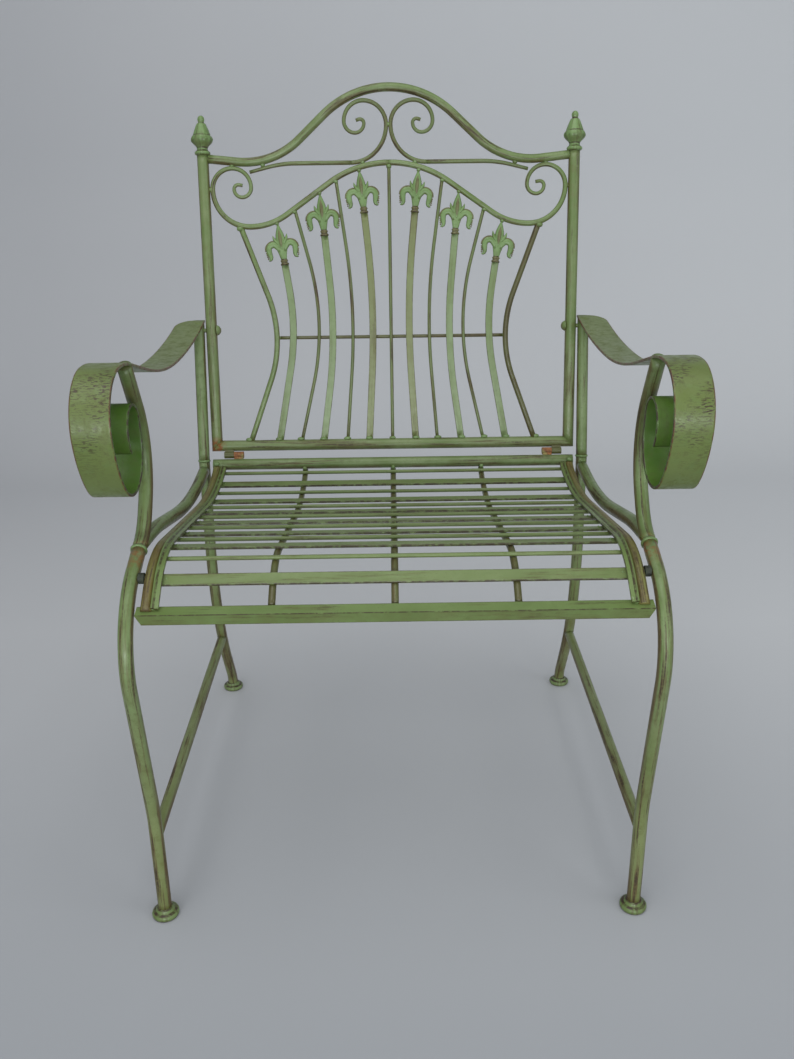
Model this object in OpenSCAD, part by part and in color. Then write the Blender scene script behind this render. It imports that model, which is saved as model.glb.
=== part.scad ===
// Welded steel garden armchair with a slatted seat, scrolled strap arms and a wrought back.
// +X is the viewer's right when the chair is seen from the front, +Y runs to the back, +Z is up.
// The origin is on the floor, in the middle of the chair's outline.
// Left and right are as seen from the front.

/* [Overall] */
// Distance between the centres of the two side frames
frame_w = 560; // [480:1:680]
// Height of the seat's crest above the floor
seat_h = 444; // [370:1:540]
// Depth of a side frame, from its front joint to its rear joint
frame_depth = 393; // [325:1:475]
// Length of the back's stiles, from the bottom rail's centre to their tops
stile_len = 410; // [380:1:500]
// Lean of the back from upright, in degrees
back_rake = 9; // [5:0.5:14]

/* [Tubes] */
// Outside diameter of the tubes of the side frames, stiles and rails
tube_d = 16; // [13:0.5:19.5]
// Outside diameter of the curved top rail of the back
crown_d = 12; // [10:0.5:15]
// Outside diameter of the seat's side tubes
seat_tube_d = 12; // [9:0.5:14]
// Outside diameter of the lower stretchers
stretcher_d = 14; // [10:0.5:15]

/* [Rods and bars] */
// Diameter of the arch rod and of the two outer rods of the back
arch_d = 8; // [6:0.5:10]
// Diameter of the upper scrolls
scroll_d = 6; // [4:0.5:8]
// Diameter of the thin upright rods and of the cross rod
thin_d = 5; // [4:0.5:6.5]
// Width of the flat upright bars
flat_w = 10; // [7:0.5:13]
// Thickness of the flat upright bars
flat_t = 3; // [2:0.5:4]

/* [Seat] */
// Width of a flat slat
slat_w = 15; // [11:0.5:20]
// Thickness of a flat slat
slat_t = 3; // [2:0.5:4]
// Diameter of a round slat
slat_d = 5; // [4:0.5:7]
// Number of slats; odd ones from the rear are round and even ones are flat
slat_n = 14; // [8:2:18]
// Diameter of the three bars under the slats
support_d = 8; // [6:0.5:10]
// Width of the folded band that covers the slats' ends
band_w = 8; // [6.5:0.5:12]
// Flange width of the front angle bar
angle_w = 14; // [12:0.5:20]
// Thickness of the front angle bar
angle_t = 3; // [2:0.5:4]

/* [Arms] */
// Width of the arm strap
strap_w = 40; // [30:1:50]
// Thickness of the arm strap
strap_t = 3; // [2:0.5:5]
// Radius of the rounded rear corner of the strap
strap_corner_r = 28; // [15:1:30]

/* [Feet and fasteners] */
// Diameter of a foot
foot_d = 32; // [26:1:40]
// Height of a foot
foot_h = 8; // [6:0.5:12]
// Diameter of the bolts that join the back to the arms
bolt_d = 6; // [5:0.5:8]
// Radial clearance of a bolt or pin in its hole
bore_clear = 0.2; // [0.1:0.05:0.4]
// Gap that a weld bridges where two bars meet
weld_gap = 0.2; // [0.1:0.05:0.4]

/* [Hidden] */
$fn = 48;
bend_sag = 0.08;                                   // largest drift of a bent bar's facets from the true bend
green = [0.46, 0.60, 0.36];
light_green = [0.56, 0.70, 0.46];
dark_green = [0.36, 0.46, 0.26];
brown = [0.40, 0.34, 0.20];
rust = [0.62, 0.38, 0.20];
black = [0.12, 0.12, 0.11];

leg_x = frame_w/2;
tube_r = tube_d/2;

// ---- bars bent in one plane ----
// A pose is [across, up, heading in degrees]. A bar is a list of [run] straights and
// [radius, angle] bends, and a positive angle turns left.
function after(p, s) = len(s) == 1
    ? [p[0] + s[0]*cos(p[2]), p[1] + s[0]*sin(p[2]), p[2]]
    : let (h = p[2] + s[1], r = s[0]*sign(s[1]))
      [p[0] + r*(sin(h) - sin(p[2])), p[1] - r*(cos(h) - cos(p[2])), h];
function pose(p, segs, n) = n == 0 ? p : after(pose(p, segs, n - 1), segs[n - 1]);
function path_end(p, segs) = pose(p, segs, len(segs));
function seg_len(s) = len(s) == 1 ? s[0] : s[0]*abs(s[1])*PI/180;
function path_len(segs, i = 0) = i == len(segs) ? 0 : seg_len(segs[i]) + path_len(segs, i + 1);

// Pose at a distance along the bar
function along(p, segs, dist, i = 0) = let (l = seg_len(segs[i]))
    dist <= l || i == len(segs) - 1
    ? after(p, len(segs[i]) == 1 ? [dist] : [segs[i][0], segs[i][1]*dist/l])
    : along(after(p, segs[i]), segs, dist - l, i + 1);

// Pose where a bar that runs from left to right passes a given place across
function at_x(p, segs, x, i = 0) = let (s = segs[i], q = after(p, s))
    x > q[0] && i < len(segs) - 1 ? at_x(q, segs, x, i + 1)
    : len(s) == 1 ? [x, p[1] + (x - p[0])*tan(p[2]), p[2]]
    : let (r = s[0]*sign(s[1]), cx = p[0] - r*sin(p[2]), cy = p[1] + r*cos(p[2]),
           h = asin((x - cx)/r))
      [x, cy - r*cos(h), h];

// Straight run that brings the end of a bar to a target, across (axis 0) or up (axis 1).
// segs holds [0] in place of that run, and h is its heading.
function run_for(p, segs, h, target, axis) =
    (target - path_end(p, segs)[axis]) / (axis == 0 ? cos(h) : sin(h));

// Poses along a bar, close enough together to stay within the sag of its bends
function steps_of(s) = len(s) == 1 ? 1 : ceil(abs(s[1])/(2*acos(1 - bend_sag/s[0])));
function stations(p, segs, i = 0) = i == len(segs) ? [p]
    : let (s = segs[i], n = steps_of(s))
      concat([for (k = [0:n - 1]) after(p, len(s) == 1 ? [s[0]*k/n] : [s[0], s[1]*k/n])],
             stations(after(p, s), segs, i + 1));

// Section of a round bar, shifted to its left by u
function ring(d, n, u = 0) = [for (k = [0:n - 1]) let (a = (k + 0.5)*360/n, r = d/2/cos(90/n))
    [u + r*cos(a), r*sin(a)]];

// Index of the station where piece k of a bar begins, and the scale of a drawn-down bar at a station
function station_of(segs, k) = k <= 0 ? 0 : station_of(segs, k - 1) + steps_of(segs[k - 1]);
function drawn(j, m, from, thin) = j <= from ? 1 : 1 - (1 - thin)*(j - from)/(m - 1 - from);

// Sweeps a section along a bar: its first number is to the bar's left, its second out of the plane.
// From piece k on, the section shrinks evenly to the fraction thin of its size.
module bent(p, segs, section, thin = 1, k = 0) {
    q = stations(p, segs);
    m = len(q);
    n = len(section);
    from = station_of(segs, k);
    polyhedron(
        [for (j = [0:m - 1], c = section) let (s = q[j], f = drawn(j, m, from, thin))
            [s[0] - f*c[0]*sin(s[2]), s[1] + f*c[0]*cos(s[2]), f*c[1]]],
        concat([[for (k = [0:n - 1]) k], [for (k = [n - 1:-1:0]) (m - 1)*n + k]],
               [for (j = [0:m - 2], k = [0:n - 1]) let (e = (k + 1) % n)
                   [j*n + k, (j + 1)*n + k, (j + 1)*n + e, j*n + e]]));
}

// Outline of a flat bar bent in its plane, between two distances to its left
module bent_outline(p, segs, u0, u1) {
    q = stations(p, segs);
    polygon(concat([for (s = q) [s[0] - u0*sin(s[2]), s[1] + u0*cos(s[2])]],
                   [for (i = [len(q) - 1:-1:0]) let (s = q[i]) [s[0] - u1*sin(s[2]), s[1] + u1*cos(s[2])]]));
}

// Straight round bar from a pose
module straight(p, len, d) {
    translate([p[0], p[1], 0]) rotate([0, 0, p[2]]) rotate([0, 90, 0]) cylinder(d = d, h = len);
}

// Everything on one side of a joint between two bars in a plane
module beyond(p, heading) {
    translate([p[0], p[1], 0]) rotate([0, 0, heading]) translate([0, -30, -30]) cube([60, 60, 60]);
}

// Straight round bar between two points
module rod_between(a, b, d) {
    v = b - a;
    translate(a) rotate([0, acos(v[2]/norm(v)), atan2(v[1], v[0])]) cylinder(d = d, h = norm(v));
}

// ---- side frame: across is depth, up is height ----
front_joint_y = 62;
front_joint_z = seat_h + 1;
rear_joint_y = front_joint_y + frame_depth;
rear_joint_z = seat_h - 14;

shin_run = 117;
shin_bend = [200, 10];
knee_bend = [100, -78];
knee_run = 35;
front_leg_bare = [[shin_run], shin_bend, [0], knee_bend, [knee_run]];
front_foot_pose = [0, foot_h, 90];
thigh_run = run_for(front_foot_pose, front_leg_bare, 100, front_joint_z, 1);
front_leg_segs = [[shin_run], shin_bend, [thigh_run], knee_bend, [knee_run]];
front_foot_y = front_joint_y - path_end(front_foot_pose, front_leg_segs)[0];
front_leg_start = [front_foot_y, foot_h, 90];
front_joint = path_end(front_leg_start, front_leg_segs);

ankle_run = 52.5;
calf_bend = [400, 35];
ankle_bend = [45, -31];
rear_leg_start = [rear_joint_y, rear_joint_z, 266];
rear_thigh_run = run_for(rear_leg_start, [[0], calf_bend, [ankle_run], ankle_bend], 266, foot_h, 1);
rear_leg_segs = [[rear_thigh_run], calf_bend, [ankle_run], ankle_bend];
rear_foot_y = path_end(rear_leg_start, rear_leg_segs)[0];

// ---- seat: the slats' middle line, from the front angle bar to the rear rail ----
seat_start = [front_joint_y - 80.3, seat_h - 44.9, 38];
seat_front_run = 33;
crest_bend = [105, -46.5];
dip_bend = [393, 20.5];
tail_bend = [40, 33];
rear_rail_setback = 6;
seat_bare = [[seat_front_run], crest_bend, [0], dip_bend, tail_bend];
seat_run = run_for(seat_start, seat_bare, -8.5, rear_joint_y - rear_rail_setback, 0);
seat_segs = [[seat_front_run], crest_bend, [seat_run], dip_bend, tail_bend];
rear_rail = path_end(seat_start, seat_segs);
seat_clear = 6.6;                                  // between a leg and the seat's side tube
seat_half = leg_x - tube_r - seat_clear;
seat_tube_x = seat_half - seat_tube_d/2;
band_out_x = seat_half - seat_tube_d - weld_gap;
band_in_x = band_out_x - band_w;
slat_half = seat_half - seat_tube_d - weld_gap;
slat_top = slat_d/2;                               // height of a round slat over the middle line
slat_first = 48;                                   // along the seat, to the front slat
slat_last = path_len(seat_segs) - 18;              // along the seat, to the rear slat
slat_pitch = (slat_last - slat_first)/(slat_n - 1);
angle_corner = [seat_start[0] + 0.3, seat_start[1] + 4.9];
angle_tilt = 17.3;
angle_half = leg_x - tube_r - 2;
support_x = 130;

// ---- hinges and back ----
hinge_reach = tube_r + 7.8;                        // from the hinge axis to each rail's centre
hinge_y = rear_rail[0] + hinge_reach*cos(45);
hinge_z = rear_rail[1] + hinge_reach*sin(45);
back_y = hinge_y + hinge_reach*cos(45);
back_z = hinge_z + hinge_reach*sin(45);
knuckle_d = 10;
knuckle_len = 14;
knuckle_gap = 0.4;
tab_inset = 0.5;                                   // the tab is this much shorter than its knuckle at each end
tab_from = knuckle_d/2 - 1.1;                      // the tab starts inside the knuckle's wall
pin_d = 5;
hinge_split_x = leg_x - 44;                        // where the two knuckles of a hinge meet
stile_clear = 2.3;                                 // between a stile and the side frame
stile_x = leg_x - tube_d - stile_clear;

// Point on the back, from its place up the rake, in depth and height
function back_point(t) = [back_y + t*sin(back_rake), back_z + t*cos(back_rake)];

// ---- arm: the strap's middle line, from the post forwards ----
arm_bolt_t = 169;                                  // up the stiles from the bottom rail
arm_bolt = back_point(arm_bolt_t);
arm_bolt_len = leg_x + tube_r - (stile_x - tube_r) + 8;
post_heading = atan2(arm_bolt[1] - rear_joint_z, arm_bolt[0] - rear_joint_y);
strap_start = [arm_bolt[0] + 9.1, arm_bolt[1] + 12.3, 191];
strap_front_y = front_joint_y + 22.3;
strap_dip = [[6], [1060, -11], [550, -15.5]];
strap_run = (strap_front_y - path_end(strap_start, strap_dip)[0])/cos(164.5);
strap_scroll = [[140, 19.5], [54, 96], [115, 31], [46, 144], [18], [24, 180], [6], [30, 30]];
strap_segs = concat(strap_dip, [[strap_run]], strap_scroll);
strap_rise = pose(strap_start, strap_segs, 4);
strap_in_x = leg_x - tube_r;

elbow_bare = [[10], [70, 34], [14], [101, 64]];
elbow = path_end(front_joint, elbow_bare);
elbow_normal = strap_rise[2] + 90;
elbow_drop = (elbow[0] - strap_rise[0])*cos(elbow_normal) + (elbow[1] - strap_rise[1])*sin(elbow_normal);
elbow_run = elbow_drop/cos(elbow_normal + 180 - elbow[2]);
arm_support_segs = concat(elbow_bare, [[elbow_run + tube_d]]);

// ---- side rail, from the front joint to the rear joint ----
side_rail_start = [front_joint_y + 6, front_joint_z + 3, -4];
side_rail_bare = [[40], [450, -7.5], [0], [560, 17.5]];
side_rail_run = run_for(side_rail_start, side_rail_bare, -11.5, rear_joint_y - 40, 0);
side_rail_segs = [[40], [450, -7.5], [side_rail_run], [560, 17.5], [40]];

side_rail_stop = [rear_joint_y, rear_joint_z];        // the rail ends before the rear leg's far side

stretcher_front_z = 114;
stretcher_rear_z = 127;

// ---- ironwork of the back: across is width, up is the way up the rake ----
crown_bare = [[134, -42.5], [47], [113, 48.5], [0]];
crown_out_run = run_for([0, 0, 0], crown_bare, 6, stile_x, 0);
crown_segs = [[134, -42.5], [47], [113, 48.5], [crown_out_run]];
crown_t = stile_len - 4 - path_end([0, 0, 0], crown_segs)[1];
crown_start = [0, crown_t, 0];

arch_r = 150;                                       // bend at the middle of the arch
arch_fall = 34.5;                                   // slope of its shoulders, degrees
arch_curl = [[51, 90], [28.5, 90], [26, 90], [13.2, 90], [11, 90], [6, 100], [5]];
arch_thin = 0.6;                                   // the scrolls are drawn down to this fraction
function curl_r(k) = arch_d/2*drawn(station_of(arch_curl, k), station_of(arch_curl, 7) + 1, 0, arch_thin);
arch_touch_x = stile_x - tube_r - weld_gap - curl_r(1);
arch_run = run_for([0, 0, 0], [[arch_r, -arch_fall], [0], [94, arch_fall], [51, 90]], -arch_fall, arch_touch_x, 0);
arch_segs = concat([[arch_r, -arch_fall], [arch_run], [94, arch_fall]], arch_curl);
arch_top = pose([0, 0, 0], arch_segs, 5);
arch_t = at_x(crown_start, crown_segs, arch_top[0])[1] - crown_d/2 - curl_r(2) - weld_gap - arch_top[1];
arch_start = [0, arch_t, 0];

nub = 0.3;                                         // weld nub between the arch and an upper scroll
scroll_bend = 50;
scroll_x = scroll_d/2 + weld_gap/2 + scroll_bend;
scroll_t = arch_t - arch_r - scroll_bend
    + sqrt(pow(arch_r + scroll_bend + arch_d/2 + scroll_d/2 + nub, 2) - scroll_x*scroll_x);
scroll_tail = [[78], [170, -14], [25]];
scroll_curl = [[scroll_bend, 90], [32, 90], [27, 90], [15.5, 90], [12.5, 90], [5.5, 110], [4]];

// Uprights of one half of the back: [middle, foot, head, bend radius], all but the last across
outer_rod_row = [166.7, 213, 213.5, 175];
flat_rows = [[142.5, 169, 160.6, 350], [85, 103, 98.9, 800], [26.5, 34.8, 42.2, 1500]];
thin_rows = [[104.8, 136.5, 135, 400], [55.6, 67.3, 75.5, 900]];
waist_t = 175;                                     // where the uprights are closest to the middle
outer_waist_t = 157;

// Lean and straight run of a bowed bar that ends dx out and dt up from its waist
function bow(r, dx, dt) = let (d = norm([r - dx, dt]))
    [atan2(dt, r - dx) - acos(r/d), sqrt(d*d - r*r)];
// Largest bend radius up to r that still leaves a straight run beyond the bend
function bow_r(r, dx, dt) = min(r, 0.4*(dx*dx + dt*dt)/dx);
function head_t(row) = at_x(arch_start, arch_segs, row[2])[1];
function row_r(row, waist) =
    min(bow_r(row[3], row[1] - row[0], waist), bow_r(row[3], row[2] - row[0], head_t(row) - waist));
function upright_segs(row, waist, short = 0) =
    let (r = row_r(row, waist), lo = bow(r, row[1] - row[0], waist),
         up = bow(r, row[2] - row[0], head_t(row) - waist))
    [[lo[1]], [r, -(lo[0] + up[0])], [up[1] - short]];
function upright_start(row, waist) =
    [row[1], 0, 90 + bow(row_r(row, waist), row[1] - row[0], waist)[0]];

fleur_h = 58;
fleur_w = 46;
fleur_t = 5;
// Distance along a flat bar from its fleur's tip to the middle of the arch rod
function tip_reach(row) =
    let (a = at_x(arch_start, arch_segs, row[2]), lean = 90 - path_end(upright_start(row, waist_t),
         upright_segs(row, waist_t))[2])
    (arch_d/2 + weld_gap)/cos(-a[2] - lean);

cross_t = outer_waist_t;
cross_back = thin_d + weld_gap;                    // the cross rod lies behind the thin rods
cross_half = outer_rod_row[0]
    - sqrt(pow(arch_d/2 + weld_gap, 2) - pow(cross_back - thin_d/2, 2));

// The chair's outline in depth, so that the origin is at its middle
y_front = knee_front() - tube_r;
y_rear = max(rear_foot_y + foot_d/2, back_y + crown_t*sin(back_rake) + crown_d/2);
mid_y = (y_front + y_rear)/2;
// Foremost point of the front leg's middle line: the knee, where it is upright again
function knee_front() = let (q = pose(front_leg_start, front_leg_segs, 3))
    q[0] + knee_bend[0]*sin(q[2]) - knee_bend[0];

FLEURS = ["fleur_1", "fleur_2", "fleur_3", "fleur_4", "fleur_5", "fleur_6"];
FLATS = ["flat_bar_1", "flat_bar_2", "flat_bar_3", "flat_bar_4", "flat_bar_5", "flat_bar_6"];
RODS = ["thin_rod_1", "thin_rod_2", "thin_rod_3", "thin_rod_4", "thin_rod_5"];

// ---- frames of reference ----
// The plane of a side frame, at a place across the chair
module side_plane(x) { translate([x, -mid_y, 0]) rotate([90, 0, 90]) children(); }
// The raked plane of the back
module back_plane() { translate([0, back_y - mid_y, back_z]) rotate([90 - back_rake, 0, 0]) children(); }
// Side -1 is the left one and side 1 the right one
module on_side(side) { mirror([side < 0 ? 1 : 0, 0, 0]) children(); }
// A bar along X through a point in depth and height
module cross_bar(p, half, d) {
    translate([-half, p[0] - mid_y, p[1]]) rotate([0, 90, 0]) cylinder(d = d, h = 2*half);
}

// ---- side frames ----
module front_leg(side) {
    color(green) on_side(side) difference() {
        side_plane(leg_x) bent(front_leg_start, front_leg_segs, ring(tube_d, 14));
        stud_bore(leg_x - tube_r - 1, tube_r + 1);
    }
}

module arm_support(side) {
    color(dark_green) on_side(side) side_plane(leg_x) difference() {
        bent(front_joint, arm_support_segs, ring(tube_d, 14));
        strap_cut(strap_rise);
    }
}

// Everything above the underside of the strap, near one place along it
module strap_cut(p) {
    translate([p[0], p[1], 0]) rotate([0, 0, p[2]])
        translate([-120, -120, -strap_w]) cube([240, 120 + strap_t/2 + weld_gap, 2*strap_w]);
}

// The rear leg and the post meet at the rear joint on a mitre
rear_joint = [rear_joint_y, rear_joint_z];
rear_mitre = (rear_leg_start[2] - 180 + post_heading)/2;
post_len = norm(arm_bolt - rear_joint) + tube_d;
overrun = 4;

module rear_leg(side) {
    start = after(rear_leg_start, [-overrun]);
    color(green) on_side(side) side_plane(leg_x) difference() {
        bent(start, concat([[rear_thigh_run + overrun]], [for (i = [1:3]) rear_leg_segs[i]]), ring(tube_d, 14));
        beyond(rear_joint, rear_mitre);
    }
}

module rear_post(side) {
    start = after([rear_joint_y, rear_joint_z, post_heading], [-overrun]);
    color(green) on_side(side) difference() {
        side_plane(leg_x) difference() {
            straight(start, post_len + overrun, tube_d);
            beyond(rear_joint, rear_mitre + 180);
            strap_cut(strap_start);
        }
        bolt_bore(leg_x - tube_d, 2*tube_d);
    }
}

module side_rail(side) {
    cope = tube_d + 2*weld_gap;
    color(dark_green) on_side(side) side_plane(leg_x) difference() {
        bent(side_rail_start, side_rail_segs, ring(tube_d, 14));
        straight(after(front_joint, [-knee_run]), knee_run + 10, cope);
        bent(front_joint, elbow_bare, ring(cope, 14));
        straight(rear_leg_start, rear_thigh_run, cope);
        straight([rear_joint_y, rear_joint_z, post_heading], 3*tube_d, cope);
        beyond(side_rail_stop, 0);
    }
}

module stretcher(side) {
    front = [front_foot_y, stretcher_front_z, 0];
    rear = [calf_y(stretcher_rear_z), stretcher_rear_z, 0];
    color(green) on_side(side) side_plane(leg_x) difference() {
        rod_between(front, rear, stretcher_d);
        straight(front_leg_start, shin_run, tube_d + 2*weld_gap);
        bent(rear_leg_start, rear_leg_segs, ring(tube_d + 2*weld_gap, 14));
    }
}

// Depth of the rear leg's calf at a height
function calf_y(z) = let (q = pose(rear_leg_start, rear_leg_segs, 1), r = calf_bend[0],
    cy = q[0] - r*sin(q[2]), cz = q[1] + r*cos(q[2]), h = 360 - acos((cz - z)/r))
    cy + r*sin(h);

module arm_strap(side) {
    color(light_green) on_side(side) difference() {
        side_plane(strap_in_x) linear_extrude(strap_w)
            bent_outline(strap_start, strap_segs, -strap_t/2, strap_t/2);
        translate([strap_in_x + strap_w - strap_corner_r, strap_start[0] - mid_y - strap_corner_r,
                   strap_start[1] - 50])
        difference() {
            cube([strap_corner_r + 1, strap_corner_r + 5, 100]);
            translate([0, 0, -1]) cylinder(r = strap_corner_r, h = 102);
        }
    }
}

module foot(y) {
    lip = foot_h/2;
    translate([0, y - mid_y, 0]) rotate_extrude() {
        square([foot_d/2 - lip, foot_h]);
        translate([foot_d/2 - lip, lip]) circle(r = lip);
    }
}

module feet() {
    color(dark_green) for (side = [-1, 1], y = [front_foot_y, rear_foot_y])
        translate([side*leg_x, 0, 0]) foot(y);
}

// ---- seat ----
module front_angle() {
    cut = 5;
    color(light_green) difference() {
        side_plane(-angle_half) translate([angle_corner[0], angle_corner[1], 0])
            rotate([0, 0, angle_tilt]) linear_extrude(2*angle_half) angle_outline();
        for (side = [-1, 1])
            on_side(side) side_plane(angle_half) translate([angle_corner[0], angle_corner[1], 0])
                rotate([0, 0, angle_tilt]) translate([-1, 0, 0]) rotate([0, 90, 0])
                linear_extrude(angle_t + 1.5)
                polygon([[1, -angle_t], [1, -angle_w - 1], [cut + 1, -angle_w - 1], [cut, -angle_w]]);
    }
}

// Section of the front angle bar
module angle_outline() {
    polygon([[0, 0], [angle_w, 0], [angle_w, -angle_t], [angle_t, -angle_t], [angle_t, -angle_w], [0, -angle_w]]);
}

// Cutter in the front angle bar's own frame, from x0 to x1 and from y0 to y1
module angle_cut(x0, x1, y0, y1) {
    side_plane(-leg_x) translate([angle_corner[0], angle_corner[1], 0]) rotate([0, 0, angle_tilt])
        translate([x0, y0, 0]) cube([x1 - x0, y1 - y0, 2*leg_x]);
}

// Cutter for a bar that lands on top of the front angle bar
module front_top_cut() { angle_cut(-60, angle_w + 40, -60, weld_gap); }

module rear_seat_rail() { color(green) cross_bar(rear_rail, seat_half, tube_d); }

module rear_cut() { cross_bar(rear_rail, leg_x, tube_d + 2*weld_gap); }

module seat_tube(side) {
    color(brown) on_side(side) difference() {
        side_plane(seat_tube_x) bent(seat_start, seat_segs, ring(seat_tube_d, 10, 1));
        front_top_cut();
        rear_cut();
        stud_bore(seat_half - stud_depth, seat_tube_d);
    }
}

module slat_band(side) {
    flat = 0.6*band_w;
    rise = 2.2;
    thick = 3;
    low = slat_top + 0.3;
    color(light_green) on_side(side) difference() {
        side_plane(0) bent(seat_start, seat_segs,
            [[low, band_in_x], [low + thick, band_in_x], [low + thick, band_in_x + flat],
             [low + thick + rise, band_out_x], [low + rise, band_out_x], [low, band_in_x + flat]]);
        front_top_cut();
        rear_cut();
    }
}

module seat_support(x) {
    color(dark_green) difference() {
        side_plane(x) bent(seat_start, seat_segs,
                           ring(support_d, 8, -slat_d/2 - weld_gap - support_d/2));
        angle_cut(-60, angle_t + weld_gap, -60, 60);
        angle_cut(-60, angle_w + weld_gap, -angle_t - weld_gap, 60);
        rear_cut();
    }
}

// Places one slat; its x runs across the chair, its y along the seat and its z out of it
module at_slat(i) {
    q = along(seat_start, seat_segs, slat_first + i*slat_pitch);
    translate([0, q[0] - mid_y, q[1]]) rotate([q[2], 0, 0]) children();
}

module flat_slats() {
    color(light_green) for (i = [0:2:slat_n - 1])
        at_slat(i) translate([-slat_half, -slat_w/2, -slat_d/2]) cube([2*slat_half, slat_w, slat_t]);
}

module round_slats() {
    color(green) for (i = [1:2:slat_n - 1])
        at_slat(i) translate([-slat_half, 0, 0]) rotate([0, 90, 0]) cylinder(d = slat_d, h = 2*slat_half);
}

// ---- back ----
// Half-space beyond the mitre at a bottom corner of the back
module mitre_cut() {
    translate([stile_x, 0, 0]) rotate([0, 0, -45]) translate([-60, -120, -tube_d]) cube([120, 120, 2*tube_d]);
}

module stile(side) {
    color(green) on_side(side) difference() {
        back_plane() difference() {
            translate([stile_x, -tube_r, 0]) rotate([-90, 0, 0]) cylinder(d = tube_d, h = stile_len + tube_r);
            mitre_cut();
        }
        bolt_bore(stile_x - tube_d, 2*tube_d);
    }
}

module back_bottom_rail() {
    half = stile_x + tube_r;
    color(green) back_plane() difference() {
        translate([-half, 0, 0]) rotate([0, 90, 0]) cylinder(d = tube_d, h = 2*half);
        for (side = [-1, 1]) on_side(side)
            translate([stile_x, 0, 0]) rotate([0, 0, -45]) translate([-60, 0, -tube_d]) cube([120, 120, 2*tube_d]);
    }
}

module top_rail() {
    color(green) back_plane() difference() {
        for (side = [-1, 1]) on_side(side) bent(crown_start, crown_segs, ring(crown_d, 10));
        for (side = [-1, 1]) translate([side*stile_x, 0, 0]) rotate([-90, 0, 0]) {
            cylinder(d = tube_d + 2*weld_gap, h = 2*stile_len);
            translate([0, 0, stile_len - weld_gap]) cylinder(r = 11 + weld_gap, h = tube_d);
        }
    }
}

module finials() {
    color(green) back_plane() for (side = [-1, 1])
        translate([side*stile_x, stile_len, 0]) rotate([-90, 0, 0]) finial();
}

// Cast finial: a collar, a waist, a fat belt, a cone and a ball tip
module finial() {
    rotate_extrude() intersection() {
        translate([0, 0]) square([20, 60]);
        union() {
            square([8, 16]);
            translate([8, 3]) circle(r = 3);
            polygon([[0, 8], [7.4, 8], [12, 16], [12, 26], [6.2, 42], [0, 42]]);
            translate([9.6, 20]) circle(r = 6);
            translate([0, 47.6]) circle(r = 4.7);
            square([3.6, 46]);
        }
    }
}

module arch_rod() {
    color(green) back_plane() for (side = [-1, 1]) on_side(side) 
        bent(arch_start, arch_segs, ring(arch_d, 8), arch_thin, 3);
}

// One bar from the tail under the top rail, round the foot of the scroll, to the curl's inner end
module upper_scroll(side) {
    color(dark_green) on_side(side) back_plane() union() {
        bent([scroll_x, scroll_t, 0], scroll_tail, ring(scroll_d, 8));
        mirror([1, 0, 0]) bent([-scroll_x, scroll_t, 0], scroll_curl, ring(scroll_d, 8), 0.8, 2);
    }
}

// Cutter round the bottom rail and everything below it
module bottom_cut() {
    translate([-leg_x, 0, 0]) rotate([0, 90, 0]) cylinder(d = tube_d + 2*weld_gap, h = 2*leg_x);
}

// Number of the arch's piece that lies over a place across the back
function arch_piece(x, k = 0) = k == 3 || x < pose(arch_start, arch_segs, k + 1)[0] ? k : arch_piece(x, k + 1);

// An upright is coped where it meets the arch
module upright_rod(row, waist, d) {
    k = arch_piece(row[2]);
    cope = arch_d + 2*weld_gap;
    q = pose(arch_start, arch_segs, k);
    difference() {
        bent(upright_start(row, waist), upright_segs(row, waist), ring(d, 8));
        bottom_cut();
        if (len(arch_segs[k]) == 1) straight(q, arch_segs[k][0], cope);
        else bent(q, [arch_segs[k]], ring(cope, 8));
    }
}

module outer_rod(side) {
    color(green) on_side(side) back_plane() upright_rod(outer_rod_row, outer_waist_t, arch_d);
}

// Thin rods 1 to 5 from left to right; the middle one is straight
module thin_rod(i) {
    color(dark_green) back_plane()
    if (i == 3)
        difference() {
            rotate([-90, 0, 0]) cylinder(d = thin_d, h = arch_t - arch_d/2 - weld_gap);
            bottom_cut();
        }
    else on_side(i - 3) upright_rod(thin_rows[abs(i - 3) == 2 ? 0 : 1], waist_t, thin_d);
}

// Row of a flat bar, from 1 at the left to 6 at the right
function flat_row(i) = flat_rows[i <= 3 ? i - 1 : 6 - i];
function flat_segs(row) = upright_segs(row, waist_t, fleur_h + tip_reach(row));

module flat_bar(i) {
    row = flat_row(i);
    color(light_green) on_side(i - 3.5) back_plane() difference() {
        translate([0, 0, -flat_t/2]) linear_extrude(flat_t)
            bent_outline(upright_start(row, waist_t), flat_segs(row), -flat_w/2, flat_w/2);
        bottom_cut();
    }
}

module fleur(i) {
    row = flat_row(i);
    q = path_end(upright_start(row, waist_t), flat_segs(row));
    color(light_green) on_side(i - 3.5) back_plane()
        translate([q[0], q[1], 0]) rotate([0, 0, q[2] - 90]) fleur_body();
}

function arc(c, r, a0, a1, n = 8) = [for (k = [0:n]) c + r*[cos(a0 + (a1 - a0)*k/n), sin(a0 + (a1 - a0)*k/n)]];

// Plate centred on the back's plane, with its outline mirrored as well when both is true
module plate(points, t, both = false) {
    for (side = both ? [-1, 1] : [1])
        translate([0, 0, -t/2]) linear_extrude(t) polygon([for (p = points) [side*p[0], p[1]]]);
}

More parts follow.
